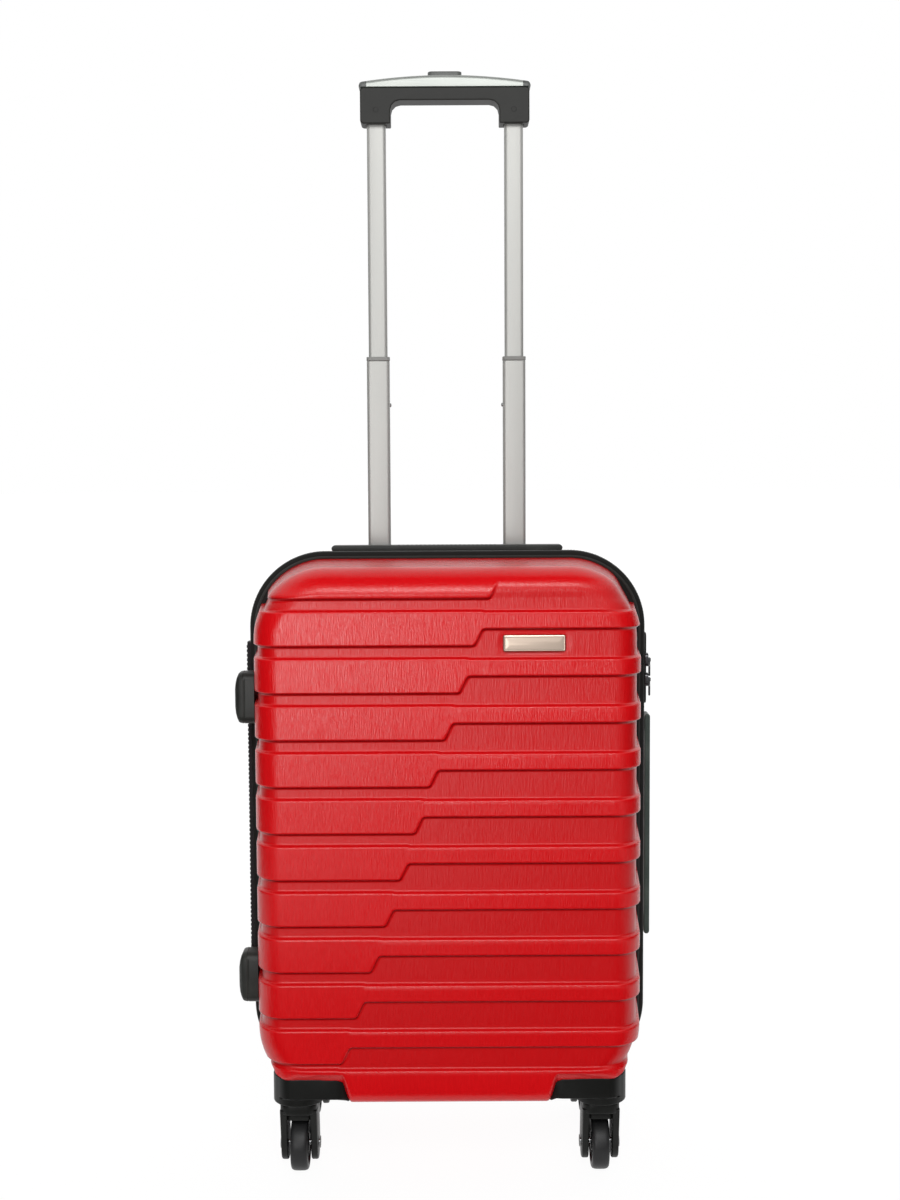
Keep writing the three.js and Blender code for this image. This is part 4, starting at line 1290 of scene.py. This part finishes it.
@dataclass
class Badge:
    """The plain bevelled plate in its seat, with nothing written on it."""

    def build(self, finishes: Finishes) -> list[Piece]:
        """Builds the plate: a bevelled rim round a softly bowed field.

        Args:
            finishes: every finish of the suitcase.

        Returns:
            The pieces.
        """
        low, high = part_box("badge_plate")
        form = Form()
        middle_x, middle_z = (low.x + high.x) / 2, (low.z + high.z) / 2
        wide, tall = high.x - low.x, high.z - low.z
        levels = [(high.y, 0.0), (low.y + 0.9 * MM, 0.0), (low.y + 0.25 * MM, 0.5 * MM)]
        levels += [(low.y, 1.1 * MM), (low.y + 0.05 * MM, 1.7 * MM), (low.y + 0.35 * MM, 2.0 * MM)]
        levels += [(low.y + 0.3 * MM, 3.2 * MM), (low.y + 0.15 * MM, 5.6 * MM)]
        rings = []
        for y, inset in levels:
            flat = rounded_rectangle(wide - 2 * inset, tall - 2 * inset, max(1.8 * MM - inset, 0.6 * MM))
            rings.append(np.array([(middle_x + p, y, middle_z + q) for p, q in flat]))
        form.loft(rings)
        return [
            form.piece("badge_bevelled", "front_case", Slot.BADGE_METAL, finishes.badge, ["badge_plate"], 25)
        ]


# ------------------------------------------------------------------ casters


@dataclass
class CasterCorner:
    """One corner's housing, fork and wheel."""

    corner: str
    case: str
    radius: float = 24.3 * MM
    half: float = 7.65 * MM
    trail: float = 8 * MM
    cheek_levels: tuple = ((10.2, 0.8), (10.9, 0.0), (14.6, 0.0), (15.7, 0.4), (16.2, 1.4))
    cheek_radius: float = 14.6
    cheek_half_top: float = 15
    cheek_top: float = 61 * MM
    crown_half: tuple = (16.2 * MM, 17 * MM)
    crown_levels: tuple = (57.5 * MM, 66.8 * MM)
    block_half: tuple = (10.6 * MM, 11 * MM)
    block_levels: tuple = (50.8 * MM, 60 * MM)
    stem_radius: float = 4.6 * MM
    rib_count: int = 6

    def build(self, finishes: Finishes) -> list[Piece]:
        """Builds the housing, the fork, the wheel and the caps over its axle.

        Args:
            finishes: every finish of the suitcase.

        Returns:
            The pieces.
        """
        corner = self.corner
        caster, wheel_body = f"{corner}_caster", f"{corner}_wheel_body"
        housing = softened(
            f"{corner}_housing", f"{corner}_wheel_housing", self.case,
            finishes.black, 1.2 * MM, 3,
        )
        places = np.zeros(len(housing.data.vertices) * 3)
        housing.data.vertices.foreach_get("co", places)
        places = places.reshape(-1, 3)
        places[:, 2] += caster_pocket(places)
        housing.data.vertices.foreach_set("co", places.ravel())
        housing.data.update()
        pieces = [housing, self.fork(caster, finishes), *self.wheel(wheel_body, finishes)]
        pieces.append(self.caps(caster, finishes))
        return pieces

    def cheek(self, pivot: float, radius: float, half_top: float) -> list[tuple[float, float]]:
        """A cheek's outline seen from the side: a round foot about the axle, straight sides, a flat top.

        Args:
            pivot: where the swivel's axis is.
            radius: the foot's radius.
            half_top: half the width of the top.

        Returns:
            Pairs of Y and Z.
        """
        middle = self.middle()
        outline = [
            (middle.y + radius * math.cos(a), middle.z + radius * math.sin(a))
            for a in np.linspace(math.radians(172), math.radians(368), 24)
        ]
        return outline + [(pivot + half_top, self.cheek_top), (pivot - half_top, self.cheek_top)]

    def fork(self, body: str, finishes: Finishes) -> Piece:
        """A crown over two round-footed cheeks, with open gaps beside the wheel, and the stem.

        Args:
            body: the body that it rides on.
            finishes: every finish of the suitcase.

        Returns:
            The fork.
        """
        low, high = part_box(f"{self.corner}_fork")
        middle = self.middle()
        half = (high.x - low.x) / 2
        pivot = middle.y + (self.trail if middle.y > 0 else -self.trail)
        disc = [(0.3, 14.0), (13.8, 14.0), (13.8, 15.6), (13.2, 16.7), (11.8, 17.5), (0.3, 17.7)]
        form = Form()
        for side in (-1, 1):
            rings = []
            for reach, inset in self.cheek_levels:
                x = middle.x + side * reach * MM
                outline = self.cheek(
                    pivot, (self.cheek_radius - inset) * MM, (self.cheek_half_top - inset) * MM
                )
                rings.append(np.array([(x, y, z) for y, z in outline]))
            form.loft(rings)
            # These lengths are metres already, so this is a thin disc in the wheel's middle plane.
            thin = [(r * MM, side * x * half / 17.75 * MM) for r, x in disc]
            form.lathe(thin, middle, Axis.X, 40)
        for (reach, deep), (foot, top), corner, edge in (
            (self.crown_half, self.crown_levels, 9 * MM, 1.5 * MM),
            (self.block_half, self.block_levels, 4 * MM, 0.8 * MM),
        ):
            form.block(
                (middle.x - reach, pivot - deep, foot), (middle.x + reach, pivot + deep, top),
                Axis.Z, corner, edge,
            )
        stem = [(0.3 * MM, 60 * MM), (self.stem_radius, 60 * MM)]
        stem += [(self.stem_radius, high.z), (0.3 * MM, high.z)]
        form.lathe(stem, (middle.x, pivot, 0.0), Axis.Z, 24)
        return form.piece(
            f"{self.corner}_wheel_fork", body, Slot.BLACK_PLASTIC, finishes.black,
            [f"{self.corner}_fork"], 38,
        )

    def middle(self) -> Vector:
        """The wheel's middle."""
        low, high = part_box(f"{self.corner}_wheel")
        return (low + high) / 2

    def wheel(self, body: str, finishes: Finishes) -> list[Piece]:
        """A wheel with a crowned tread, a dished web with ribs and a raised hub.

        Args:
            body: the body that it rides on.
            finishes: every finish of the suitcase.

        Returns:
            The ribs and the tyre.
        """
        r, h = self.radius, self.half
        crown = 3.4 * MM
        arc = [
            (r - crown + crown * math.sin(a) ** 0.8, h * math.cos(a) ** 0.55 if a < 1.5707 else 0.0)
            for a in np.linspace(0.02, math.pi / 2, 8)
        ]
        outer = arc + [(p, -q) for p, q in arc[-2::-1]]
        inner = [(r - 5.2 * MM, -h), (r - 5.8 * MM, -h + 1.7 * MM), (9.0 * MM, -h + 2.1 * MM)]
        inner += [(8.0 * MM, -h + 0.2 * MM), (3.0 * MM, -h), (3.0 * MM, h), (8.0 * MM, h - 0.2 * MM)]
        inner += [(9.0 * MM, h - 2.1 * MM), (r - 5.8 * MM, h - 1.7 * MM), (r - 5.2 * MM, h)]
        form = Form()
        middle = self.middle()
        form.lathe(outer + inner, middle, Axis.X, 72)
        ribs = Form()
        for side in (-1, 1):
            for k in range(self.rib_count):
                angle = 2 * math.pi / self.rib_count * k
                along = np.array([0, math.cos(angle), math.sin(angle)])
                across = np.array([0, -math.sin(angle), math.cos(angle)])
                near = np.array(middle) + [side * (h - 2.4 * MM), 0, 0]
                far = near + [side * 1.5 * MM, 0, 0]
                corners = []
                for base in (near, far):
                    for d, w in ((8.4, -1), (8.4, 1), (18.3, 1), (18.3, -1)):
                        corners.append(base + along * d * MM + across * w * 0.7 * MM)
                ribs.loft([np.array(corners[:4]), np.array(corners[4:])])
        spokes = ribs.piece(f"{self.corner}_wheel_ribs", body, Slot.WHEEL_RUBBER, finishes.black)
        tyre = form.piece(
            f"{self.corner}_tyre", body, Slot.WHEEL_RUBBER, finishes.tread,
            [f"{self.corner}_wheel"], 38,
        )
        return [spokes, tyre]

    def caps(self, body: str, finishes: Finishes) -> Piece:
        """The round caps over the axle's ends, on the fork's cheeks.

        Args:
            body: the body that they ride on.
            finishes: every finish of the suitcase.

        Returns:
            The caps.
        """
        low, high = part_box(f"{self.corner}_fork")
        middle = self.middle()
        cap = [(0.3, -0.3), (5.2, -0.3), (5.2, 0.0), (4.6, 0.05), (4.3, -0.15)]
        cap += [(3.6, -0.15), (3.2, 0.1), (0.3, 0.1)]
        form = Form()
        for x, out in ((low.x, -1), (high.x, 1)):
            turned = [(r * MM, d * MM * out) for r, d in cap]
            form.lathe(turned, (x - 0.1 * MM * out, middle.y, middle.z), Axis.X, 32)
        return form.piece(f"{self.corner}_axle_caps", body, Slot.BLACK_PLASTIC, finishes.cap)


# ------------------------------------------------------------------ telescopic handle


@dataclass
class Pole:
    """One side's sliding tubes, collar and snap clips."""

    name: str
    inward: int
    wall: float = 1.3 * MM
    corner: float = 3.2 * MM

    def tube(self, node: str, body: str, finish: bpy.types.Material) -> Piece:
        """A drawn tube with rounded ends, in place of a plain one.

        Args:
            node: the solid node.
            body: the body that it rides on.
            finish: its material.

        Returns:
            The tube.
        """
        low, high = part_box(node)
        middle_x, middle_y = (low.x + high.x) / 2, (low.y + high.y) / 2
        wide, deep = high.x - low.x, high.y - low.y
        lip = 0.35 * MM
        levels = [(0.0, low.z + lip), (0.0, high.z - lip), (lip, high.z), (self.wall - lip, high.z)]
        levels += [(self.wall, high.z - lip), (self.wall, low.z + lip), (self.wall - lip, low.z)]
        levels += [(lip, low.z)]
        rings = []
        for inset, z in levels:
            flat = rounded_rectangle(
                wide - 2 * inset, deep - 2 * inset, max(self.corner - inset, 0.6 * MM), 6
            )
            rings.append(np.array([(middle_x + p, middle_y + q, z) for p, q in flat]))
        form = Form()
        form.loft(rings, loop=True)
        return form.piece(f"{node}_drawn", body, Slot.ALUMINIUM, finish, [node], 35)

    def clip(self, node: str, body: str, joint: str, finishes: Finishes) -> Piece:
        """A spring leaf with a domed pin that snaps in as the tube slides.

        Args:
            node: the solid node.
            body: the body that it rides on.
            joint: the slide that pushes the pin in; not used.
            finishes: every finish of the suitcase.

        Returns:
            The clip.
        """
        low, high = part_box(node)
        inward = self.inward
        leaf_back = low.x if inward > 0 else high.x
        tip = high.x if inward > 0 else low.x
        middle_y, middle_z = (low.y + high.y) / 2, (low.z + high.z) / 2
        form = Form()
        x0, x1 = sorted((leaf_back, leaf_back + inward * 1.2 * MM))
        form.block((x0, low.y, low.z), (x1, high.y, high.z), Axis.Y, 0.4 * MM, 0.2 * MM)
        reach = abs(tip - leaf_back)
        profile = [(0.05 * MM, 0.4 * MM * inward), (1.9 * MM, 0.4 * MM * inward)]
        profile += [(1.9 * MM, (reach - 0.7 * MM) * inward), (1.5 * MM, (reach - 0.2 * MM) * inward)]
        profile += [(0.8 * MM, reach * inward), (0.05 * MM, reach * inward)]
        form.lathe(profile, (leaf_back, middle_y, middle_z), Axis.X, 24)
        piece = form.piece(f"{node}_spring", body, Slot.STEEL, finishes.steel, [node])
        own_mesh(piece)
        return piece

    def build(self, finishes: Finishes) -> list[Piece]:
        """Builds the three tubes, the collar and the two clips."""
        name = self.name
        return [
            self.tube(f"{name}_outer_tube", "rear_case", finishes.pole),
            self.tube(f"{name}_middle_tube", "middle_stage", finishes.pole),
            self.tube(f"{name}_inner_tube", "inner_stage", finishes.pole),
            softened(
                f"{name}_collar", f"{name}_collar_ring", "middle_stage",
                finishes.collar, 0.4 * MM,
            ),
            self.clip(f"{name}_lower_clip", "middle_stage", "middle_slide", finishes),
            self.clip(f"{name}_upper_clip", "inner_stage", "inner_slide", finishes),
        ]


@dataclass
class PullGrip:
    """The grip on top of the poles: base, arched cover with end caps, and button."""

    arc_steps: int = 48
    cap_width: float = 7.0 * MM
    end_height: float = 4.7 * MM
    end_round: float = 3.2 * MM
    end_shrink: float = 3.0 * MM
    edge_round: float = 3.6 * MM

    def cover_section(self, x: float, low: Vector, high: Vector) -> np.ndarray:
        """The cover's section across the grip at x.

        Args:
            x: the place along the grip.
            low: the cover's lowest corner.
            high: the cover's highest corner.

        Returns:
            The section's points.
        """
        half = high.x
        tall = self.end_height + (high.z - low.z - self.end_height) * (1 - (x / half) ** 2)
        middle_y, deep = (low.y + high.y) / 2, high.y - low.y
        past = max(abs(x) - (half - self.end_round), 0) / self.end_round
        shrink = 1 - math.sqrt(max(1 - past**2, 0))
        tall -= shrink * self.end_shrink
        deep -= shrink * self.end_shrink
        top = low.z + tall
        edge = min(self.edge_round, tall * 0.7)
        points = [(x, middle_y - deep / 2, low.z), (x, middle_y + deep / 2, low.z)]
        steps = 6
        for side, turns in ((1, range(steps + 1)), (-1, range(steps, -1, -1))):
            for turn in turns:
                a = math.pi / 2 * turn / steps
                y = middle_y + side * (deep / 2 - edge * (1 - math.cos(a)))
                points.append((x, y, top - edge * (1 - math.sin(a))))
        return np.array(points)

    def span(self, start: float, end: float, steps: int) -> list[np.ndarray]:
        """Cover sections between two places along the grip."""
        low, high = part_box("grip_cover")
        return [self.cover_section(float(x), low, high) for x in np.linspace(start, end, steps)]

    def build(self, finishes: Finishes) -> list[Piece]:
        """Builds the grip's pieces.

        Args:
            finishes: every finish of the suitcase.

        Returns:
            The pieces.
        """
        low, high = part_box("grip_cover")
        half, cap = high.x, self.cap_width
        body = "inner_stage"
        cover = Form()
        cover.loft(self.span(-half + cap, half - cap, self.arc_steps))
        shown = cover.piece(
            "grip_cover_arched", body, Slot.SILVER_COVER, finishes.cover, ["grip_cover"], 40
        )
        button_low, button_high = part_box("release_button")
        self.cut_slot(shown, button_low, button_high)
        caps = Form()
        caps.loft(self.span(-half, -half + cap - 0.25 * MM, 12))
        caps.loft(self.span(half - cap + 0.25 * MM, half, 12))
        pieces = [shown, caps.piece("grip_end_caps", body, Slot.GREY_PLASTIC, finishes.cap)]
        button = Form()
        button.block(button_low, button_high, Axis.Z, 4 * MM, 1.1 * MM, 0.5 * MM)
        pieces.append(
            button.piece(
                "release_button_domed", "release", Slot.BLACK_PLASTIC, finishes.cap, ["release_button"]
            )
        )
        pieces.append(
            softened(
                "grip_base", "grip_base_rounded", body, finishes.grip, 1.3 * MM, 3
            )
        )
        pieces.append(self.gasket(low, finishes))
        pieces.append(self.screws(finishes))
        return pieces

    def cut_slot(self, cover: Piece, low: Vector, high: Vector) -> None:
        """Cuts the button's slot through the cover.

        Args:
            cover: the cover.
            low: the button's lowest corner.
            high: the button's highest corner.
        """
        play = 0.35 * MM
        cutter = Form()
        cutter.block(
            (low.x - play, low.y - play, low.z - 0.01), (high.x + play, high.y + play, high.z + 0.01),
            Axis.Z, 4.3 * MM, 0.1 * MM,
        )
        mesh = bpy.data.meshes.new("slot_cutter")
        mesh.from_pydata(cutter.points, [], cutter.faces)
        tool = bpy.data.objects.new("slot_cutter", mesh)
        bpy.context.scene.collection.objects.link(tool)
        applied(cover, ("BOOLEAN", {"operation": "DIFFERENCE", "object": tool, "solver": "EXACT"}))
        bpy.data.objects.remove(tool)
        cover.data.shade_smooth()
        cover.data.set_sharp_from_angle(angle=math.radians(35))

    def gasket(self, low: Vector, finishes: Finishes) -> Piece:
        """The dark seam between the cover and the base.

        Args:
            low: the cover's lowest corner.
            finishes: every finish of the suitcase.

        Returns:
            The seam.
        """
        base_low, base_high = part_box("grip_base")
        form = Form()
        rings = []
        for inset, z in ((0.2, -0.35), (0.2, 0.15), (2.2, 0.15), (2.2, -0.35)):
            flat = rounded_rectangle(
                base_high.x - base_low.x - 2 * inset * MM, base_high.y - base_low.y - 2 * inset * MM, 3 * MM
            )
            middle_y = (base_high.y + base_low.y) / 2
            rings.append(np.array([(p, middle_y + q, low.z + z * MM) for p, q in flat]))
        form.loft(rings, loop=True)
        return form.piece("grip_seam", "inner_stage", Slot.GREY_PLASTIC, finishes.grey)

    def screws(self, finishes: Finishes) -> Piece:
        """The screw hole covers on both faces of the legs.

        Args:
            finishes: every finish of the suitcase.

        Returns:
            The covers.
        """
        base_low, base_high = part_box("grip_base")
        form = Form()
        for x in (-0.064, 0.064):
            for y, out in ((base_low.y, -1), (base_high.y, 1)):
                profile = [(0.1 * MM, -0.5 * MM * out), (2.6 * MM, -0.5 * MM * out)]
                profile += [(2.6 * MM, 0.1 * MM * out), (2.2 * MM, 0.15 * MM * out)]
                profile += [(1.9 * MM, -0.2 * MM * out), (0.1 * MM, -0.1 * MM * out)]
                form.lathe(profile, (x, y, base_low.z + 12.5 * MM), Axis.Y, 28)
        return form.piece("grip_screw_covers", "inner_stage", Slot.BLACK_PLASTIC, finishes.black)


# ------------------------------------------------------------------ carry handles, lock and pulls


@dataclass
class CarryHandle:
    """A sprung carry handle and the plate that it sits in."""

    prefix: str
    body: str
    finish: str

    def build(self, finishes: Finishes) -> list[Piece]:
        """Builds the plate and the grip.

        Args:
            finishes: every finish of the suitcase.

        Returns:
            The pieces.
        """
        grip_finish = finishes.rubber if self.finish == "rubber" else finishes.grey
        slot = Slot.BLACK_RUBBER if self.finish == "rubber" else Slot.GREY_PLASTIC
        return [
            softened(
                f"{self.prefix}_handle_base", f"{self.prefix}_handle_plate", "rear_case",
                finishes.black, 0.5 * MM,
            ),
            softened(
                f"{self.prefix}_handle_grip", f"{self.prefix}_handle_bar", self.body,
                grip_finish, 1.0 * MM, 3,
            ),
            self.pads(slot, finishes),
        ]

    def pads(self, slot: Slot, finishes: Finishes) -> Piece:
        """The row of low grip ribs along the bar's top.

        Args:
            slot: the record's material slot.
            finishes: every finish of the suitcase.

        Returns:
            The ribs.
        """
        low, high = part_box(f"{self.prefix}_handle_grip")
        form = Form()
        count = 23
        for k in range(count):
            if self.prefix == "top":
                x = (low.x + high.x) / 2 + (k - (count - 1) / 2) * 4 * MM
                form.block(
                    (x - 1.1 * MM, low.y + 4 * MM, high.z - 0.4 * MM),
                    (x + 1.1 * MM, high.y - 4 * MM, high.z + 0.25 * MM), Axis.Z, 1 * MM, 0.3 * MM,
                )
            else:
                z = (low.z + high.z) / 2 + (k - (count - 1) / 2) * 4 * MM
                form.block(
                    (high.x - 0.5 * MM, low.y + 4 * MM, z - 1.1 * MM),
                    (high.x - 0.02 * MM, high.y - 4 * MM, z + 1.1 * MM), Axis.X, 1 * MM, 0.2 * MM,
                )
        return form.piece(f"{self.prefix}_handle_ribs", self.body, slot, finishes.rubber)


@dataclass
class LockCase:
    """The combination lock on the right side, its dials and its catch."""

    dials: int = 3
    teeth: int = 20
    knurl_depth: float = 0.035

    def build(self, finishes: Finishes) -> list[Piece]:
        """Builds the lock.

        Args:
            finishes: every finish of the suitcase.

        Returns:
            The pieces.
        """
        pieces = [
            softened(
                "lock_body", "lock_case", "rear_case", finishes.black, 0.7 * MM, 3
            ),
            softened("lock_slide", "lock_catch_key", "lock_catch", finishes.steel, 0.4 * MM),
        ]
        for number in range(1, self.dials + 1):
            pieces.append(self.dial(number, finishes))
        return pieces

    def knurl(self, radius: float, angle: float) -> float:
        """The factor on the radius that cuts the notches into a dial's rim."""
        notch = radius > 3 * MM and math.cos(self.teeth * angle) > 0.2
        return 1.0 - self.knurl_depth * notch

    def dial(self, number: int, finishes: Finishes) -> Piece:
        """A knurled number wheel.

        Args:
            number: which dial, from 1.
            finishes: every finish of the suitcase.

        Returns:
            The dial.
        """
        low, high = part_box(f"lock_dial_{number}")
        middle = (low + high) / 2
        half, r = (high.z - low.z) / 2, (high.x - low.x) / 2
        profile = [(0.8 * MM, -half), (r - 0.5 * MM, -half), (r, -half + 0.5 * MM)]
        profile += [(r, half - 0.5 * MM), (r - 0.5 * MM, half), (0.8 * MM, half)]
        form = Form()
        form.lathe(profile, middle, Axis.Z, self.teeth * 6, self.knurl)
        return form.piece(
            f"lock_dial_{number}_knurled", f"dial_{number}", Slot.GREY_PLASTIC, finishes.grey,
            [f"lock_dial_{number}"], 35,
        )


@dataclass
class ZipPull:
    """A zip slider and its hanging pull."""

    name: str

    def build(self, finishes: Finishes) -> list[Piece]:
        """Builds the slider and the pull."""
        name = self.name
        return [
            softened(
                f"{name}_zip_slider", f"{name}_slider_cast", f"{name}_slider",
                finishes.dark_metal, 0.4 * MM,
            ),
            softened(
                f"{name}_zip_pull", f"{name}_pull_tab", f"{name}_pull",
                finishes.dark_metal, 0.25 * MM,
            ),
        ]


# ------------------------------------------------------------------ inside


@dataclass
class Linings:
    """The cloth inside both halves, with crossed packing straps and their buckle."""

    def build(self, finishes: Finishes) -> list[Piece]:
        """Builds the linings and the straps.

        Args:
            finishes: every finish of the suitcase.

        Returns:
            The pieces.
        """
        pieces = [
            softened(
                f"{half}_lining", f"{half}_lining_cloth", f"{half}_case",
                finishes.lining, 0.3 * MM,
            )
            for half in ("rear", "front")
        ]
        pieces.extend(self.straps(finishes))
        return pieces

    def straps(self, finishes: Finishes) -> list[Piece]:
        """Two straps that cross over the rear lining, and the buckle where they meet.

        Args:
            finishes: every finish of the suitcase.

        Returns:
            The straps and the buckle.
        """
        low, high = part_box("rear_lining")
        y = low.y - 0.4 * MM
        centre = Vector((0, y, (low.z + high.z) / 2))
        pieces = []
        ends = [Vector((s * 0.128, y, z)) for s in (-1, 1) for z in (0.14, 0.47)]
        pairs = ((ends[0], ends[3], 0.0), (ends[2], ends[1], 1.6 * MM))
        section = [(-12.5, 0), (-12.1, -0.6), (0, -0.7), (12.1, -0.6), (12.5, 0), (12.1, 0.5), (-12.1, 0.5)]
        for index, (start, end, lift) in enumerate(pairs):
            along = (end - start).normalized()
            across = along.cross(Vector((0, 1, 0)))
            rings = []
            steps = 60
            for s in range(steps + 1):
                share = s / steps
                rise = lift * math.exp(-(((share - 0.5) * 12) ** 2)) + 0.3 * MM * math.sin(share * math.pi)
                base = start.lerp(end, share) - Vector((0, rise, 0))
                ring = []
                for w, d in section:
                    ring.append(base + across * w * MM + Vector((0, (d - 0.7) * MM, 0)))
                rings.append(np.array(ring))
            form = Form()
            form.loft(rings)
            strap = form.piece(
                f"packing_strap_{index + 1}", "rear_case", Slot.ZIP_TAPE, finishes.strap, (), 50
            )
            pieces.append(strap)
        buckle = Form()
        buckle.block(
            centre - Vector((24 * MM, 9 * MM, 17 * MM)), centre + Vector((24 * MM, -3 * MM, 17 * MM)),
            Axis.Y, 5 * MM, 1.4 * MM,
        )
        buckle.block(
            centre - Vector((30 * MM, 7.5 * MM, 12 * MM)), centre + Vector((30 * MM, -4.5 * MM, 12 * MM)),
            Axis.Y, 3 * MM, 1.0 * MM,
        )
        pieces.append(
            buckle.piece("packing_buckle", "rear_case", Slot.BLACK_PLASTIC, finishes.black, (), 35)
        )
        return pieces


@dataclass
class TrolleyBezel:
    """The collar plate that the poles rise through."""

    edge: float = 1.4 * MM

    def build(self, finishes: Finishes) -> list[Piece]:
        """Builds the plate."""
        return [
            softened(
                "trolley_bezel", "trolley_bezel_rounded", "rear_case",
                finishes.black, self.edge, 3,
            )
        ]


def dress_hidden(finishes: Finishes) -> None:
    """Gives the solid nodes that stay as they are a fitting finish.

    Args:
        finishes: every finish of the suitcase.
    """
    kept = {"tube_foot_bracket": finishes.black, "push_rod_frame": finishes.steel}
    for corner in ("rear_left", "rear_right", "front_left", "front_right"):
        kept[f"{corner}_axle"] = finishes.steel
    for name, finish in kept.items():
        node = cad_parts[name]
        node.data.materials.clear()
        node.data.materials.append(finish)


# ------------------------------------------------------------------ studio


@dataclass
class Softbox:
    """One large soft light."""

    name: str
    place: Point
    aim: Point
    size: float
    power: float

    def build(self) -> None:
        """Hangs the light, unseen itself."""
        data = bpy.data.lights.new(self.name, "AREA")
        data.shape = "DISK"
        data.size = self.size
        data.energy = self.power
        lamp = bpy.data.objects.new(self.name, data)
        lamp.location = self.place
        aim = Vector(self.aim) - Vector(self.place)
        lamp.rotation_mode = "QUATERNION"
        lamp.rotation_quaternion = aim.to_track_quat("-Z", "Y")
        lamp.visible_camera = False
        bpy.context.scene.collection.objects.link(lamp)


@dataclass
class Flag:
    """A dark card that shades the suitcase from one side and is never in view itself."""

    name: str
    corners: tuple

    def build(self, cloth: bpy.types.Material) -> None:
        """Stands the card up.

        Args:
            cloth: the card's material.
        """
        mesh = bpy.data.meshes.new(self.name)
        mesh.from_pydata(list(self.corners), [], [(0, 1, 2, 3)])
        mesh.materials.append(cloth)
        card = bpy.data.objects.new(self.name, mesh)
        card.visible_camera = False
        bpy.context.scene.collection.objects.link(card)


def upright(start: tuple[float, float], end: tuple[float, float], low: float, high: float) -> tuple:
    """The corners of an upright card over a line on the floor."""
    return ((*start, low), (*end, low), (*end, high), (*start, high))


def level(low: tuple[float, float], high: tuple[float, float], z: float) -> tuple:
    """The corners of a level card."""
    return ((low[0], low[1], z), (high[0], low[1], z), (high[0], high[1], z), (low[0], high[1], z))


@dataclass
class Studio:
    """A pale sweep, soft lights and the camera."""

    lens: float = 50.0
    camera_place: Point = (0.0025, -1.5038, 0.6223)
    pitch: float = 4.59
    roll: float = -0.3
    sweep: float = 40.0

    def floor(self) -> None:
        """A wide pale floor."""
        turns = np.linspace(0, 6.2832, 65)[:-1]
        ring = [(math.cos(a) * self.sweep, math.sin(a) * self.sweep, 0.0) for a in turns]
        mesh = bpy.data.meshes.new("studio_floor")
        mesh.from_pydata(ring, [], [tuple(range(len(ring)))])
        mesh.materials.append(PaperFinish().make())
        floor = bpy.data.objects.new("studio_floor", mesh)
        bpy.context.scene.collection.objects.link(floor)

    def lights(self) -> None:
        """An even white surround, two soft lights and the dark cards that give the gloss its edges."""
        world = bpy.data.worlds.new("white_surround")
        world.use_nodes = True
        world.node_tree.nodes["Background"].inputs["Color"].default_value = rgb(1.0, 1.0, 1.0)
        world.node_tree.nodes["Background"].inputs["Strength"].default_value = 1.0
        bpy.context.scene.world = world
        Softbox("left_front_softbox", (-0.50, -2.1, 0.34), (-0.05, 0.0, 0.38), 0.62, 10.0).build()
        Softbox("high_front_softbox", (0.1, -2.4, 1.9), (0.0, 0.0, 0.3), 1.0, 31.0).build()
        cloth = MouldedFinish("black_card", rgb(0.004, 0.004, 0.004), rgb(0.008, 0.008, 0.008), 0.9).make()
        cards = (
            Flag("floor_card", level((-0.03, -3.0), (0.72, -0.80), 0.004)),
            Flag("near_floor_card", level((-0.85, -0.80), (0.80, -0.16), 0.004)),
            Flag("front_card", upright((-0.05, -3.0), (0.72, -3.0), 0.0, 0.72)),
            Flag("left_card", upright((-0.95, -1.75), (-1.15, 0.75), 0.02, 1.05)),
            Flag("right_card", upright((1.30, -1.75), (1.15, 0.75), 0.02, 1.05)),
            Flag("top_card", level((-1.1, -1.35), (1.1, 0.25), 2.05)),
        )
        for card in cards:
            card.build(cloth)

    def camera(self) -> None:
        """The camera."""
        data = bpy.data.cameras.new("front_camera")
        data.lens = self.lens
        data.sensor_width = 36.0
        camera = bpy.data.objects.new("front_camera", data)
        tilt = Matrix.Rotation(math.radians(90 - self.pitch), 4, "X")
        roll = Matrix.Rotation(math.radians(self.roll), 4, "Z")
        camera.matrix_world = Matrix.Translation(self.camera_place) @ tilt @ roll
        bpy.context.scene.collection.objects.link(camera)
        bpy.context.scene.camera = camera

    def build(self) -> None:
        """Sets the stage."""
        bpy.context.scene.view_settings.view_transform = "Standard"
        self.camera()
        self.floor()
        self.lights()


def main() -> None:
    """Builds every sub-assembly in order."""
    Studio().build()
    finishes = Finishes()
    builders = [
        HardShell(1, "rear_case", "rear_shell"),
        HardShell(-1, "front_case", "front_shell"),
        ZipBand(1, "rear_case", "rear_zip_tape"),
        ZipBand(-1, "front_case", "front_zip_tape"),
        ClothHinge(),
        Badge(),
        Pole("left", 1),
        Pole("right", -1),
        PullGrip(),
        CarryHandle("top", "top_handle", "rubber"),
        CarryHandle("side", "side_handle", "grey"),
        LockCase(),
        ZipPull("upper"),
        ZipPull("lower"),
        Linings(),
    ]
    for half, case in (("rear", "rear_case"), ("front", "front_case")):
        builders += [SideFoot(f"{half}_{level}_foot", case) for level in ("upper", "lower")]
        builders += [CasterCorner(f"{half}_{hand}", case) for hand in ("left", "right")]
    builders.append(TrolleyBezel())
    for builder in builders:
        for piece in builder.build(finishes):
            log.info("%s built %s", type(builder).__name__, piece.name)
    dress_hidden(finishes)


if __name__ == "__main__":
    main()
